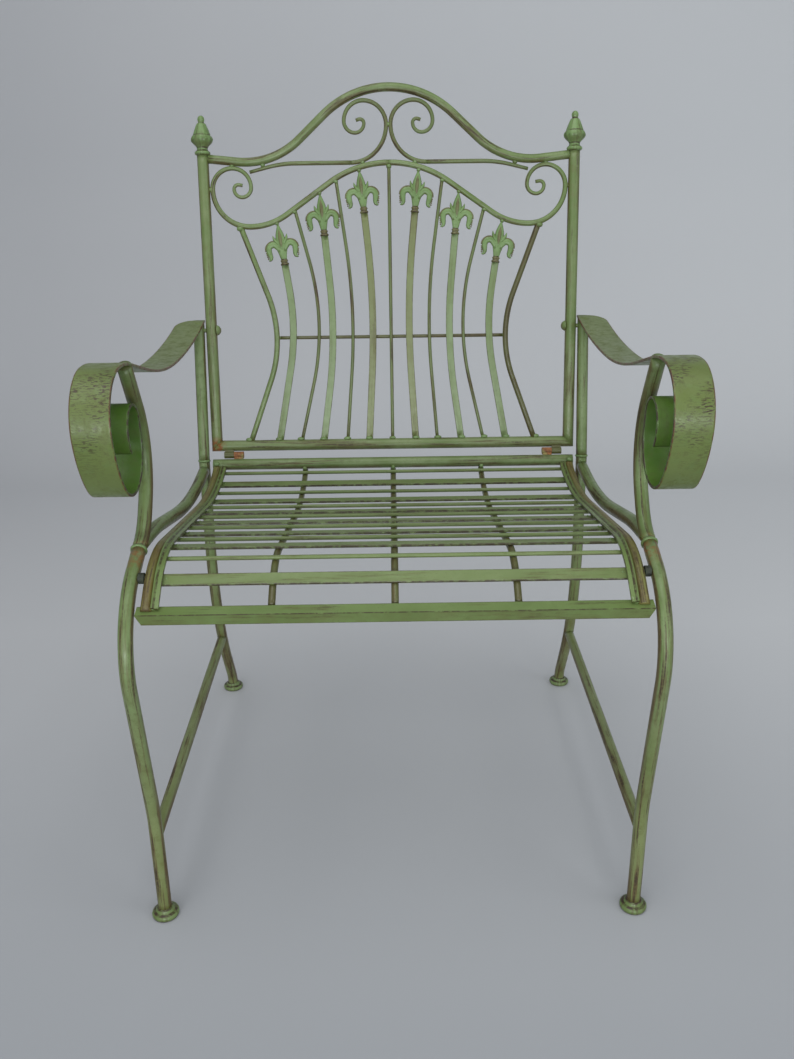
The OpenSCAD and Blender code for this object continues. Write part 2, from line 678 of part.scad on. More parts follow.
// Cast fleur-de-lis, standing on its collar: a stem, a middle leaf, two side leaves and two buds
module fleur_body() {
    top = fleur_h;
    wide = fleur_w/2;
    leaf_r = 19.5;
    leaf_half = 6.2;
    leaf_a = acos((leaf_r - leaf_half)/leaf_r);
    leaf_y = top - leaf_r*sin(leaf_a);
    plate([[-4.4, 2], [4.4, 2], [4.4, 11], [7.2, 27], [3, leaf_y + 4], [-3, leaf_y + 4], [-7.2, 27], [-4.4, 11]],
          fleur_t);
    plate(concat(arc([leaf_half - leaf_r, leaf_y], leaf_r, -leaf_a, leaf_a),
                 arc([leaf_r - leaf_half, leaf_y], leaf_r, 180 - leaf_a, 180 + leaf_a)), fleur_t + 1);
    plate([[2, 27], [7, 26], [9.4, 34], [8.2, 44], [4, 37]], fleur_t - 0.6, true);
    plate(concat(arc([wide - 12, 23], 12, 150, 0), arc([wide - 20, 23], 20, 0, -42, 4),
                 arc([wide - 12.5, 21.5], 5.5, 0, 150)), fleur_t - 1.2, true);
    cylinder_x = 6.2;
    rotate([-90, 0, 0]) cylinder(r = cylinder_x, h = 4);
    translate([0, 4, 0]) rotate([-90, 0, 0]) cylinder(r = cylinder_x - 1.4, h = 4);
}

module cross_rod() {
    color(dark_green) back_plane() translate([-cross_half, cross_t, -cross_back])
        rotate([0, 90, 0]) cylinder(d = thin_d, h = 2*cross_half);
}

// ---- hinges ----
// One knuckle of a hinge with its tab, from x0 to x1, reaching towards a rail at (y, z)
module knuckle(x0, x1, y, z) {
    dy = y - hinge_y;
    dz = z - hinge_z;
    difference() {
        union() {
            translate([x0, hinge_y - mid_y, hinge_z]) rotate([0, 90, 0]) cylinder(d = knuckle_d, h = x1 - x0);
            translate([x0, hinge_y - mid_y, hinge_z]) rotate([atan2(dz, dy), 0, 0])
                translate([tab_inset, tab_from, -2])
                    cube([x1 - x0 - 2*tab_inset, norm([dy, dz]) - tab_from, 4]);
        }
        translate([x0 - 1, hinge_y - mid_y, hinge_z]) rotate([0, 90, 0])
            cylinder(d = pin_d + 2*bore_clear, h = x1 - x0 + 2);
        cross_bar([y, z], leg_x, tube_d + 2*weld_gap);
    }
}

module hinge_back_knuckles() {
    x0 = hinge_split_x + knuckle_gap/2;
    color(dark_green) for (side = [-1, 1]) on_side(side) knuckle(x0, x0 + knuckle_len, back_y, back_z);
}

module hinge_seat_knuckles() {
    x1 = hinge_split_x - knuckle_gap/2;
    color(rust) for (side = [-1, 1]) on_side(side) knuckle(x1 - knuckle_len, x1, rear_rail[0], rear_rail[1]);
}

module hinge_pins() {
    color(rust) for (side = [-1, 1]) on_side(side)
        translate([hinge_split_x - knuckle_len, hinge_y - mid_y, hinge_z]) rotate([0, 90, 0])
            cylinder(d = pin_d, h = 2*knuckle_len);
}

// ---- fasteners ----
module bolt_bore(x, len) {
    translate([x, arm_bolt[0] - mid_y, arm_bolt[1]]) rotate([0, 90, 0])
        cylinder(d = bolt_d + 2*bore_clear, h = len);
}

// Domed bolts through each stile and post, heads on the inside
module arm_bolts() {
    head_d = 15;
    head_h = 6;
    dome_r = (head_h*head_h + head_d*head_d/4)/(2*head_h);
    color(green) for (side = [-1, 1]) on_side(side)
        translate([stile_x - tube_r, arm_bolt[0] - mid_y, arm_bolt[1]]) rotate([0, 90, 0]) {
            cylinder(d = bolt_d, h = arm_bolt_len);
            intersection() {
                translate([0, 0, -head_h]) cylinder(d = head_d, h = head_h);
                translate([0, 0, dome_r - head_h]) sphere(r = dome_r);
            }
        }
}

module arm_nuts() {
    color(dark_green) for (side = [-1, 1]) on_side(side)
        translate([leg_x + tube_r + weld_gap, arm_bolt[0] - mid_y, arm_bolt[1]]) rotate([0, 90, 0])
            difference() {
                cylinder(d = 11.5, h = 5, $fn = 6);
                translate([0, 0, -1]) cylinder(d = bolt_d + bore_clear, h = 7);
            }
}

// Shouldered studs that hold the seat between the front legs
stud_y = front_joint_y - 41;
stud_depth = 0.75*seat_tube_d;                     // into the seat's side tube
stud_z = at_x(seat_start, seat_segs, stud_y)[1] + 1;
module seat_studs() {
    color(black) for (side = [-1, 1]) on_side(side)
        translate([seat_half, stud_y - mid_y, stud_z]) rotate([0, 90, 0]) {
            translate([0, 0, weld_gap]) cylinder(d = 12, h = seat_clear - 2*weld_gap);
            translate([0, 0, weld_gap - stud_depth]) cylinder(d = bolt_d, h = stud_depth + seat_clear + tube_r - 1);
        }
}

module stud_bore(x, len) {
    translate([x, stud_y - mid_y, stud_z]) rotate([0, 90, 0]) cylinder(d = bolt_d + 2*bore_clear, h = len);
}

front_leg(-1);  // left_front_leg
front_leg(1);  // right_front_leg
arm_support(-1);  // left_arm_support
arm_support(1);  // right_arm_support
rear_leg(-1);  // left_rear_leg
rear_leg(1);  // right_rear_leg
rear_post(-1);  // left_rear_post
rear_post(1);  // right_rear_post
side_rail(-1);  // left_side_rail
side_rail(1);  // right_side_rail
stretcher(-1);  // left_stretcher
stretcher(1);  // right_stretcher
arm_strap(-1);  // left_arm_strap
arm_strap(1);  // right_arm_strap
feet();
front_angle();
rear_seat_rail();
seat_tube(-1);  // left_seat_tube
seat_tube(1);  // right_seat_tube
slat_band(-1);  // left_slat_band
slat_band(1);  // right_slat_band
seat_support(-support_x);  // left_seat_support
seat_support(0);  // centre_seat_support
seat_support(support_x);  // right_seat_support
flat_slats();
round_slats();
stile(-1);  // left_stile
stile(1);  // right_stile
back_bottom_rail();
top_rail();
finials();
arch_rod();
upper_scroll(-1);  // left_upper_scroll
upper_scroll(1);  // right_upper_scroll
outer_rod(-1);  // left_outer_rod
outer_rod(1);  // right_outer_rod
cross_rod();
for (i = [1:6]) flat_bar(i);
for (i = [1:5]) thin_rod(i);
for (i = [1:6]) fleur(i);
hinge_back_knuckles();
hinge_seat_knuckles();
hinge_pins();
arm_bolts();
arm_nuts();
seat_studs();
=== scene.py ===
import itertools
import math
import random

import bpy
import numpy as np
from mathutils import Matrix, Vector, noise


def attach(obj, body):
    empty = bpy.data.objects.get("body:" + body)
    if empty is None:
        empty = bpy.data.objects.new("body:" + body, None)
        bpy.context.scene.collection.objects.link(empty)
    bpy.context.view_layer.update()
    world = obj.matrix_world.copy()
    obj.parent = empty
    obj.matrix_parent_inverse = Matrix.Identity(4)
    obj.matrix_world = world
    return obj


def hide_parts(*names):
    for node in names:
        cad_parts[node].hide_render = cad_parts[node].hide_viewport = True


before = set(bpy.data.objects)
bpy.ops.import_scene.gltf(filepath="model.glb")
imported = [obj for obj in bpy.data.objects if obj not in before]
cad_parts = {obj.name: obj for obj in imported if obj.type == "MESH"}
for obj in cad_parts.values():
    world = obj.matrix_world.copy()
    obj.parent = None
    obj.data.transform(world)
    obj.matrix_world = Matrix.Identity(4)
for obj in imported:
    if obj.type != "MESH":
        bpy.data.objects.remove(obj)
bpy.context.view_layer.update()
print("frame loaded")

mm = 0.001  # sizes below are in millimetres and degrees
sides = {"left": -1, "right": 1}


# a pose is (across, up, heading); a bar is a list of straight runs (length,) and bends (radius, angle)
def after(p, s):
    h = math.radians(p[2])
    if len(s) == 1:
        return (p[0] + s[0] * math.cos(h), p[1] + s[0] * math.sin(h), p[2])
    r = math.copysign(s[0], s[1])
    g = math.radians(p[2] + s[1])
    return (p[0] + r * (math.sin(g) - math.sin(h)), p[1] - r * (math.cos(g) - math.cos(h)), p[2] + s[1])


def endOf(p, segs):
    for s in segs:
        p = after(p, s)
    return p


def segLen(s):
    return s[0] if len(s) == 1 else s[0] * math.radians(abs(s[1]))


def barLen(segs):
    return sum(segLen(s) for s in segs)


def stations(p, segs, sag=0.02, longest=12.0):  # poses close enough to look round, each with its distance along
    out, run = [], 0.0
    for s in segs:
        n = max(1, math.ceil(segLen(s) / longest))
        if len(s) == 2:
            n = max(n, math.ceil(math.radians(abs(s[1])) / (2 * math.acos(1 - sag / s[0]))))
        for k in range(n):
            part = (s[0] * k / n,) if len(s) == 1 else (s[0], s[1] * k / n)
            out.append((*after(p, part), run + segLen(s) * k / n))
        run += segLen(s)
        p = after(p, s)
    out.append((*p, run))
    return out


def along(p, segs, dist):
    for s in segs[:-1]:
        if dist <= segLen(s):
            break
        dist -= segLen(s)
        p = after(p, s)
    else:
        s = segs[-1]
    return after(p, (dist,) if len(s) == 1 else (s[0], s[1] * dist / segLen(s)))


def fitRun(start, segs, target, axis):  # the run of 0.0 gets the length that brings the end to the target
    i = segs.index((0.0,))
    h = math.radians(endOf(start, segs[:i])[2])
    run = (target - endOf(start, segs)[axis]) / (math.cos(h) if axis == 0 else math.sin(h))
    return [*segs[:i], (run,), *segs[i + 1:]]


def atX(p, segs, x):  # pose where a bar that runs from left to right passes x
    for i, s in enumerate(segs):
        q = after(p, s)
        if x <= q[0] or i == len(segs) - 1:
            break
        p = q
    if len(s) == 1:
        return (x, p[1] + (x - p[0]) * math.tan(math.radians(p[2])), p[2])
    r = math.copysign(s[0], s[1])
    cx, cy = p[0] - r * math.sin(math.radians(p[2])), p[1] + r * math.cos(math.radians(p[2]))
    h = math.asin((x - cx) / r)
    return (x, cy - r * math.cos(h), math.degrees(h))


chair = {"legX": 280.0, "tubeRadius": 8.0, "frontJoint": (62.0, 445.0), "rearJoint": (455.0, 430.0),
         "depthShift": 257.046}  # the shift puts the origin under the middle of the chair
legX, tubeR, midY = chair["legX"], chair["tubeRadius"], chair["depthShift"]
frontJoint, rearJoint = chair["frontJoint"], chair["rearJoint"]

seat = {"crest": 444.0, "edge": (-80.3, -44.9), "heading": 38.0, "rearGap": 6.0, "sideGap": 6.6,
        "bends": [(33.0,), (105.0, -46.5), (0.0,), (393.0, 20.5), (40.0, 33.0)]}
seatStart = (frontJoint[0] + seat["edge"][0], seat["crest"] + seat["edge"][1], seat["heading"])
seatSegs = fitRun(seatStart, seat["bends"], rearJoint[0] - seat["rearGap"], 0)
rearRail = endOf(seatStart, seatSegs)
seatHalf = legX - tubeR - seat["sideGap"]

back = {"hingeReach": 7.8, "rake": 9.0, "stileLength": 410.0, "stileGap": 2.3, "boltHeight": 169.0,
        "waist": 175.0, "outerWaist": 157.0}  # waists are where the uprights are closest to the middle
hingeReach = tubeR + back["hingeReach"]
hingeY = rearRail[0] + hingeReach * math.cos(math.radians(45))
hingeZ = rearRail[1] + hingeReach * math.sin(math.radians(45))
backY = hingeY + hingeReach * math.cos(math.radians(45))
backZ = hingeZ + hingeReach * math.sin(math.radians(45))
rake = math.radians(back["rake"])
stileX = legX - 2 * tubeR - back["stileGap"]
boltPoint = (backY + back["boltHeight"] * math.sin(rake), backZ + back["boltHeight"] * math.cos(rake))


# planes turn (across, up, out) in millimetres into a place in metres
def sidePlane(x):
    return lambda a, u, w: ((x + w) * mm, (a - midY) * mm, u * mm)


def backPlane(a, t, w):
    return (a * mm, (backY - midY + t * math.sin(rake) - w * math.cos(rake)) * mm,
            (backZ + t * math.cos(rake) + w * math.sin(rake)) * mm)


def acrossPlane(y, z, tilt=0.0):  # for a bar across the chair: its left is up and its out is to the front
    c, s = math.cos(math.radians(tilt)), math.sin(math.radians(tilt))
    return lambda a, u, w: (a * mm, (y - w * c - u * s - midY) * mm, (z - w * s + u * c) * mm)


class Graph:  # short names for a material's nodes
    def __init__(self, name):
        self.material = bpy.data.materials.new(name)
        self.material.use_nodes = True
        self.tree = self.material.node_tree
        self.shader = self.tree.nodes["Principled BSDF"]
        self.column = 0

    def put(self, kind, **values):
        node = self.tree.nodes.new(kind)
        self.column += 1
        node.location = (-1600 + (self.column % 8) * 190, 600 - (self.column // 8) * 260)
        for key, value in values.items():
            if isinstance(value, bpy.types.NodeSocket):
                self.tree.links.new(value, self.pick(node, key))
            elif hasattr(node, key):
                setattr(node, key, value)
            else:
                self.pick(node, key).default_value = value
        return node

    def pick(self, node, key):
        if key.startswith("in") and key[2:].isdigit():
            return node.inputs[int(key[2:])]
        return node.inputs[key.replace("_", " ")]

    def math(self, operation, a, b=0.0, clamp=False):
        return self.put("ShaderNodeMath", operation=operation, use_clamp=clamp, in0=a, in1=b).outputs[0]

    def band(self, value, low, high, outLow=0.0, outHigh=1.0):
        return self.put("ShaderNodeMapRange", clamp=True, Value=value, From_Min=low, From_Max=high,
                        To_Min=outLow, To_Max=outHigh).outputs[0]

    def scaled(self, vector, scale):
        return self.put("ShaderNodeVectorMath", operation="MULTIPLY", in0=vector, in1=scale).outputs[0]

    def split(self, vector):
        return self.put("ShaderNodeSeparateXYZ", Vector=vector).outputs

    def noise(self, vector, scale, detail=3.0, rough=0.55):
        return self.put("ShaderNodeTexNoise", Vector=vector, Scale=scale, Detail=detail, Roughness=rough).outputs[0]

    def mix(self, factor, a, b):
        return self.put("ShaderNodeMixRGB", Fac=factor, Color1=a, Color2=b).outputs[0]

    def place(self):
        return self.put("ShaderNodeTexCoord").outputs["Object"]

    def attribute(self, name):
        return self.put("ShaderNodeAttribute", attribute_name=name).outputs["Fac"]

    def set(self, key, value):
        if isinstance(value, bpy.types.NodeSocket):
            self.tree.links.new(value, self.shader.inputs[key])
        else:
            self.shader.inputs[key].default_value = value

    def rise(self, strength, distance, height):
        bump = self.put("ShaderNodeBump", Strength=strength, Distance=distance, Height=height)
        self.set("Normal", bump.outputs[0])


tints = {"brown": (0.040, 0.024, 0.010, 1), "umber": (0.098, 0.064, 0.020, 1), "rustRed": (0.23, 0.085, 0.025, 1),
         "rubbed": (0.19, 0.17, 0.055, 1), "rubbedEdge": (0.11, 0.042, 0.018, 1), "mint": (0.34, 0.50, 0.23, 1),
         "leaf": (0.235, 0.375, 0.125, 1), "moss": (0.165, 0.24, 0.075, 1), "olive": (0.26, 0.30, 0.115, 1)}
brown, umber, mint, leaf, moss, olive = [tints[k] for k in ("brown", "umber", "mint", "leaf", "moss", "olive")]


def makePaint(name, light, mid, deep, wear=0.5, edge=1.0, under=0.6, speck=0.5, stretch=(6.0, 120.0), crackle=0.0,
              flanks=0.0, rust=None, rimTone=brown):
    light, mid, deep = [(c[0] * 0.52, c[1] * 0.49, c[2] * 0.43, 1) for c in (light, mid, deep)]
    g = Graph(name)
    place = g.place()
    uv = g.put("ShaderNodeUVMap", uv_map="bar").outputs[0]
    cloud = g.noise(place, 16.0, 4.0, 0.6)
    mottle = g.noise(place, 95.0, 3.0, 0.6)
    tone = g.mix(g.band(cloud, 0.36, 0.62), mid, light)
    tone = g.mix(g.band(mottle, 0.52, 0.72, 0.0, 0.55), tone, deep)
    streak = g.noise(g.scaled(uv, (stretch[0], stretch[1], 1.0)), 1.0, 5.0, 0.62)
    fine = g.noise(g.scaled(uv, (stretch[0] * 3.0, stretch[1] * 4.0, 1.0)), 1.0, 4.0, 0.65)
    patch = g.band(g.noise(place, 22.0, 3.0), 0.40, 0.58)  # streaks gather in patches
    broad = g.math("MULTIPLY", g.band(streak, 0.50, 0.60), g.band(fine, 0.34, 0.50))
    knocked = g.band(g.split(place)[2], 0.30, 0.08, 0.0, 0.45 * flanks)  # the lower legs are more worn
    rub = g.math("MULTIPLY", broad, g.math("ADD", g.math("MULTIPLY", patch, 0.6), g.math("ADD", knocked, 0.4)), True)
    tone = g.mix(g.math("MULTIPLY", knocked, 0.9), tone, tints["rubbed"])
    facing = g.split(g.put("ShaderNodeNewGeometry").outputs["Normal"])
    # painted shade and real base coat: faces that point down turn umber, partly the brown base showing beneath paint
    # sprayed from above, partly painted shade under the bars
    below = g.band(facing[2], 0.05, -0.75)
    rough = g.noise(place, 260.0, 4.0, 0.65)
    low = g.math("MULTIPLY", below, g.band(g.noise(place, 45.0, 4.0, 0.65), 0.34, 0.6))
    tone = g.mix(g.math("MULTIPLY", low, under), tone, umber)
    if flanks:  # the glaze stayed on the sides that face across the chair
        flank = g.math("MULTIPLY", g.band(g.math("ABSOLUTE", facing[0]), 0.70, 0.93),
                       g.band(g.noise(g.scaled(uv, (7.0, 60.0, 1.0)), 1.0, 4.0, 0.6), 0.38, 0.56))
        tone = g.mix(g.math("MULTIPLY", flank, flanks), tone, umber)
    tone = g.mix(g.math("MULTIPLY", rub, wear, True), tone, umber)
    thin = g.math("MULTIPLY", g.band(g.math("MULTIPLY", streak, fine), 0.28, 0.36), g.band(rough, 0.34, 0.52))
    tone = g.mix(g.math("MULTIPLY", thin, wear * 1.3, True), tone, brown)
    rimNoise = g.band(g.noise(place, 120.0, 4.0, 0.7), 0.36, 0.54)
    rim = g.math("MULTIPLY", g.band(g.attribute("edge"), 0.35, 0.8), rimNoise)
    tone = g.mix(g.math("MULTIPLY", rim, edge, True), tone, rimTone)
    dots = g.math("MULTIPLY", g.band(g.noise(place, 520.0, 3.0, 0.7), 0.60, 0.68), g.band(cloud, 0.42, 0.6))
    tone = g.mix(g.math("MULTIPLY", dots, speck, True), tone, brown)
    if rust:  # a patch of rust around one place, or around that place on both sides
        axes = g.split(place)
        across = g.math("ABSOLUTE", axes[0]) if rust["both"] else axes[0]
        spot = g.put("ShaderNodeCombineXYZ", X=across, Y=axes[1], Z=axes[2]).outputs[0]
        span = g.put("ShaderNodeVectorMath", operation="DISTANCE", in0=spot, in1=rust["place"]).outputs["Value"]
        bloom = g.math("MULTIPLY", g.band(span, rust["reach"], rust["reach"] * 0.4),
                       g.band(g.noise(place, 150.0, 4.0, 0.7), 0.42, 0.56))
        tone = g.mix(bloom, tone, tints["rustRed"])
    height = g.math("ADD", g.math("MULTIPLY", rough, 0.6), g.math("MULTIPLY", g.band(streak, 0.52, 0.63), -0.5))
    if crackle:
        dash = g.noise(g.scaled(uv, (640.0, 290.0, 1.0)), 1.0, 2.0, 0.6)
        blot = g.band(g.noise(place, 34.0, 3.0), 0.40, 0.60)
        cracks = g.math("MULTIPLY", g.band(dash, 0.515, 0.575), g.math("MULTIPLY", g.attribute("front"), blot), True)
        tone = g.mix(g.math("MULTIPLY", cracks, crackle, True), tone, brown)
        height = g.math("ADD", height, g.math("MULTIPLY", cracks, -0.8))
    g.set("Base Color", tone)
    dull = g.band(g.noise(place, 140.0, 3.0), 0.3, 0.7, 0.29, 0.46)
    g.set("Roughness", g.math("ADD", dull, g.math("MULTIPLY", rub, 0.2)))
    g.rise(0.22, 0.0006, height)
    g.set("Specular IOR Level", 0.5)
    return g.material


def makeRust(name):
    g = Graph(name)
    place = g.place()
    grain = g.noise(place, 240.0, 5.0, 0.7)
    tone = g.mix(g.band(grain, 0.38, 0.62), (0.14, 0.055, 0.020, 1), (0.36, 0.15, 0.055, 1))
    tone = g.mix(g.band(g.noise(place, 60.0), 0.55, 0.66, 0.0, 0.5), tone, (0.22, 0.30, 0.11, 1))
    g.set("Base Color", tone)
    g.set("Roughness", g.band(grain, 0.3, 0.7, 0.62, 0.88))
    g.rise(0.4, 0.0006, grain)
    return g.material


def makeDark(name):
    g = Graph(name)
    grain = g.noise(g.place(), 200.0, 4.0)
    g.set("Base Color", g.mix(g.band(grain, 0.35, 0.65), (0.012, 0.014, 0.010, 1), (0.035, 0.045, 0.025, 1)))
    g.set("Roughness", g.band(grain, 0.3, 0.7, 0.5, 0.8))
    g.rise(0.3, 0.0004, grain)
    return g.material


legTopRust = {"place": (legX * mm, (frontJoint[0] - midY) * mm - 0.008, 0.428), "reach": 0.034, "both": True}
cornerRust = {"place": (-stileX * mm, (backY - midY - 6) * mm, backZ * mm), "reach": 0.017, "both": False}
paints = {
    "bar": makePaint("barPaint", mint, leaf, moss, wear=0.85, under=0.85, flanks=0.9, rust=legTopRust),
    "stile": makePaint("stilePaint", (0.33, 0.46, 0.21), leaf, olive, wear=0.6, under=0.7, flanks=0.85,
                       rust=cornerRust),
    "thin": makePaint("thinPaint", (0.25, 0.36, 0.14), (0.19, 0.28, 0.10), olive, wear=0.9, under=0.8, flanks=0.8,
                      stretch=(10.0, 260.0)),
    "mintBar": makePaint("mintBarPaint", (0.36, 0.53, 0.27), (0.30, 0.45, 0.19), leaf, wear=0.15, edge=0.7,
                         speck=0.2),
    "oliveBar": makePaint("oliveBarPaint", (0.35, 0.45, 0.20), (0.31, 0.38, 0.155), olive, wear=0.3, edge=0.8,
                          speck=0.2),
    "casting": makePaint("castingPaint", (0.34, 0.58, 0.24), (0.26, 0.47, 0.17), moss, wear=0.3, speck=0.6),
    "castLeaf": makePaint("castLeafPaint", (0.30, 0.36, 0.16), (0.24, 0.24, 0.11), umber, wear=0.5, speck=0.6),
    "collar": makePaint("collarPaint", (0.33, 0.36, 0.17), (0.26, 0.26, 0.11), umber, wear=0.5, speck=0.6),
    "strap": makePaint("strapPaint", (0.25, 0.36, 0.11), (0.20, 0.29, 0.075), leaf, wear=0.12, under=0.0,
                       speck=0.25, stretch=(60.0, 120.0), crackle=1.0, rimTone=tints["rubbedEdge"]),
    "strapInside": makePaint("strapInsidePaint", (0.16, 0.34, 0.06), (0.11, 0.26, 0.04), moss, wear=0.1, under=0.15,
                             speck=0.3),
    "slat": makePaint("slatPaint", (0.30, 0.44, 0.17), (0.25, 0.38, 0.13), leaf, wear=0.35, edge=0.9, speck=0.3,
                      stretch=(10.0, 190.0)),
    "angle": makePaint("anglePaint", (0.30, 0.47, 0.17), (0.25, 0.40, 0.13), leaf, wear=0.4, edge=0.9, speck=0.35),
    "foot": makePaint("footPaint", mint, leaf, moss, wear=0.4, under=0.5),
    "wornTube": makePaint("wornTubePaint", (0.33, 0.38, 0.12), (0.29, 0.24, 0.075), (0.20, 0.13, 0.05), wear=0.7,
                          speck=0.8),
    "wornRod": makePaint("wornRodPaint", (0.20, 0.24, 0.09), (0.15, 0.15, 0.055), umber, wear=0.9, speck=0.8),
    "bead": makePaint("beadPaint", (0.34, 0.56, 0.25), (0.25, 0.42, 0.15), moss, wear=0.3, speck=0.8),
    "rust": makeRust("bareRust"),
    "dark": makeDark("darkBolt"),
}
print("materials made")

sweepSeeds = itertools.count()  # each swept bar shifts its streaks by its own amount


def nodeOf(name):  # leftFrontLeg stands for the node left_front_leg, and flatBar1 for flat_bar_1
    return "".join("_" + c.lower() if c.isupper() or c.isdigit() else c for c in name)


class Build:  # gathers the mesh of one piece
    def __init__(self):
        self.points, self.faces, self.uvs, self.edges, self.front, self.slots = [], [], [], [], [], []

    def addPoint(self, place, flip=1, edge=0.0, front=0.0):
        self.points.append((flip * place[0], place[1], place[2]))
        self.edges.append(edge)
        self.front.append(front)

    def addFace(self, corners, uv, turn, slot=0):
        self.faces.append(corners[::-1] if turn else corners)
        self.uvs.append(uv[::-1] if turn else uv)
        self.slots.append(slot)

    def skin(self, base, rows, n, turn, uvOf, slot=0):  # joins rings of n points
        for i in range(rows - 1):
            for k in range(n):
                a, e = base + i * n, (k + 1) % n
                self.addFace([a + k, a + e, a + n + e, a + n + k], [uvOf(i, k)] * 4, turn, slot)

    def caps(self, base, rows, n, flip, uv, step=1, slot=0, inward=False):  # closes both ends
        for row, turn in ((0, flip > 0), (rows - 1, flip < 0)):
            loop = [base + row * n * step + k * step for k in range(n)]
            self.addFace(loop, [uv] * n, turn == inward, slot)

    def sweep(self, plane, start, segs, section, flip=1, thin=1.0, thinFrom=0, sharp=False, skew=(0, 0)):
        # section entries are (u, v, edge); sharp gives each side its own points; skew cuts the ends at 45 degrees
        rows = stations(start, segs)
        count, n = len(rows), len(section)
        shift = random.Random(next(sweepSeeds)).random() * 7
        fromRun, total = barLen(segs[:thinFrom]), rows[-1][3]
        base = len(self.points)
        around = [0.0]
        for k in range(n):
            a, b = section[k], section[(k + 1) % n]
            around.append(around[-1] + math.hypot(a[0] - b[0], a[1] - b[1]))
        order = [(k, j) for k in range(n) for j in ((0, 1) if sharp else (0,))]
        for row, (a, u, h, run) in enumerate(rows):
            lean = skew[0] if row == 0 else skew[1] if row == count - 1 else 0
            f = 1.0 if run <= fromRun else 1 - (1 - thin) * (run - fromRun) / (total - fromRun)
            s, c = math.sin(math.radians(h)), math.cos(math.radians(h))
            for k, j in order:
                p = section[(k + j) % n]
                self.addPoint(plane(a - f * p[0] * (s - lean * c), u + f * p[0] * (c + lean * s), f * p[1]), flip, p[2])
        width = len(order)
        for i in range(count - 1):
            for k in range(n):
                i0, i1 = (2 * k, 2 * k + 1) if sharp else (k, (k + 1) % n)
                here, ahead = base + i * width, base + (i + 1) * width
                v0, v1 = around[k] * mm, around[k + 1] * mm
                u0, u1 = rows[i][3] * mm + shift, rows[i + 1][3] * mm + shift
                self.addFace([here + i0, ahead + i0, ahead + i1, here + i1],
                             [(u0, v0), (u1, v0), (u1, v1), (u0, v1)], flip < 0)
        self.caps(base, count, n, flip, (shift, 0.0), 2 if sharp else 1)

    def lump(self, centre, size, seed, flip=1, stretch=(1, 1, 1), slot=0, rings=6, around=9):
        base = len(self.points)
        for i in range(rings + 1):
            lat = math.pi * (i / rings - 0.5)
            for k in range(around):
                lon = 2 * math.pi * k / around
                d = Vector((math.cos(lat) * math.cos(lon), math.cos(lat) * math.sin(lon), math.sin(lat)))
                r = size * (1 + 0.22 * noise.noise(d * 1.7 + Vector((seed * 3.1, 0, 0))))
                self.addPoint(Vector(centre) + Vector((d.x * stretch[0], d.y * stretch[1], d.z * stretch[2])) * r, flip)
        self.skin(base, rings + 1, around, flip < 0, lambda i, k: (seed, 0.0), slot)

    def ringBead(self, centre, axis, radius, bead, seed, flip=1, around=28, tube=8):
        base = len(self.points)
        axis = Vector(axis).normalized()
        side = axis.cross(Vector((1, 0, 0))).normalized()
        other = axis.cross(side)
        for i in range(around):
            a = 2 * math.pi * i / around
            out = side * math.cos(a) + other * math.sin(a)
            size = bead * (1 + 0.3 * noise.noise(Vector((math.cos(a) * 2.2, math.sin(a) * 2.2, seed))))
            for k in range(tube):
                b = 2 * math.pi * k / tube
                self.addPoint(Vector(centre) + out * (radius + size * math.cos(b)) + axis * size * 1.25 * math.sin(b),
                              flip)
        for i in range(around):
            for k in range(tube):
                here, ahead, e = base + i * tube, base + (i + 1) % around * tube, (k + 1) % tube
                self.addFace([here + k, ahead + k, ahead + e, here + e], [(seed, 0.0)] * 4, flip < 0)

    def turned(self, plane, profile, ribs=None, around=36, flip=1, slot=0):
        # profile entries are (radius, height, edge); ribs(height) gives the depth of the ribs
        base = len(self.points)
        for r, t, e in profile:
            depth = ribs(t) if ribs else 0.0
            for k in range(around):
                a = 2 * math.pi * k / around
                hollow = 0.5 - 0.5 * math.cos(12 * a)
                rr = r * (1 - depth * hollow)
                self.addPoint(plane(rr * math.cos(a), t, rr * math.sin(a)), flip, max(e, depth * 5 * hollow))
        self.skin(base, len(profile), around, flip > 0, lambda i, k: (profile[i][1] * mm, k * 0.002), slot)
        self.caps(base, len(profile), around, flip, (0.0, 0.0), 1, slot)

    def leafBlade(self, plane, blade, slot=0):
        # spine entries are (across, up, half width); the blade is an oval along it
        base, spine, n = len(self.points), blade["spine"], blade["around"]
        for i, (a, t, w) in enumerate(spine):
            p, q = spine[max(0, i - 1)], spine[min(len(spine) - 1, i + 1)]
            da, dt = q[0] - p[0], q[1] - p[1]
            size = math.hypot(da, dt)
            na, nt = -dt / size, da / size
            for k in range(n):
                b = 2 * math.pi * (k + 0.5) / n
                deep = blade["thick"] * min(1.0, 0.35 + w / 4.0) * math.sin(b)
                self.addPoint(plane(a + na * w * math.cos(b), t + nt * w * math.cos(b), deep), 1,
                              blade.get("rim", 0.0) if abs(math.cos(b)) > 0.9 else 0.0)
        self.skin(base, len(spine), n, False, lambda i, k: (spine[i][1] * mm, k * 0.001), slot)
        self.caps(base, len(spine), n, 1, (0.0, 0.0), 1, slot, True)

    def finish(self, piece, smooth=True):
        data = bpy.data.meshes.new(piece["name"])
        data.from_pydata([tuple(p) for p in self.points], [], self.faces)
        data.uv_layers.new(name="bar").data.foreach_set("uv", [c for f in self.uvs for uv in f for c in uv])
        for label, values in (("edge", self.edges), ("front", self.front)):
            data.attributes.new(label, "FLOAT", "POINT").data.foreach_set("value", values)
        data.polygons.foreach_set("use_smooth", [smooth] * len(data.polygons))
        data.update()
        made = bpy.data.objects.new(piece["name"], data)
        bpy.context.scene.collection.objects.link(made)
        coats = piece["paint"] if isinstance(piece["paint"], list) else [piece["paint"]]
        for coat in coats:
            data.materials.append(paints[coat])
        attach(made, "root")
        if nodeOf(piece["name"]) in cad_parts:
            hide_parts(nodeOf(piece["name"]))
        data.polygons.foreach_set("material_index", self.slots)
        data.validate()
        data.update()


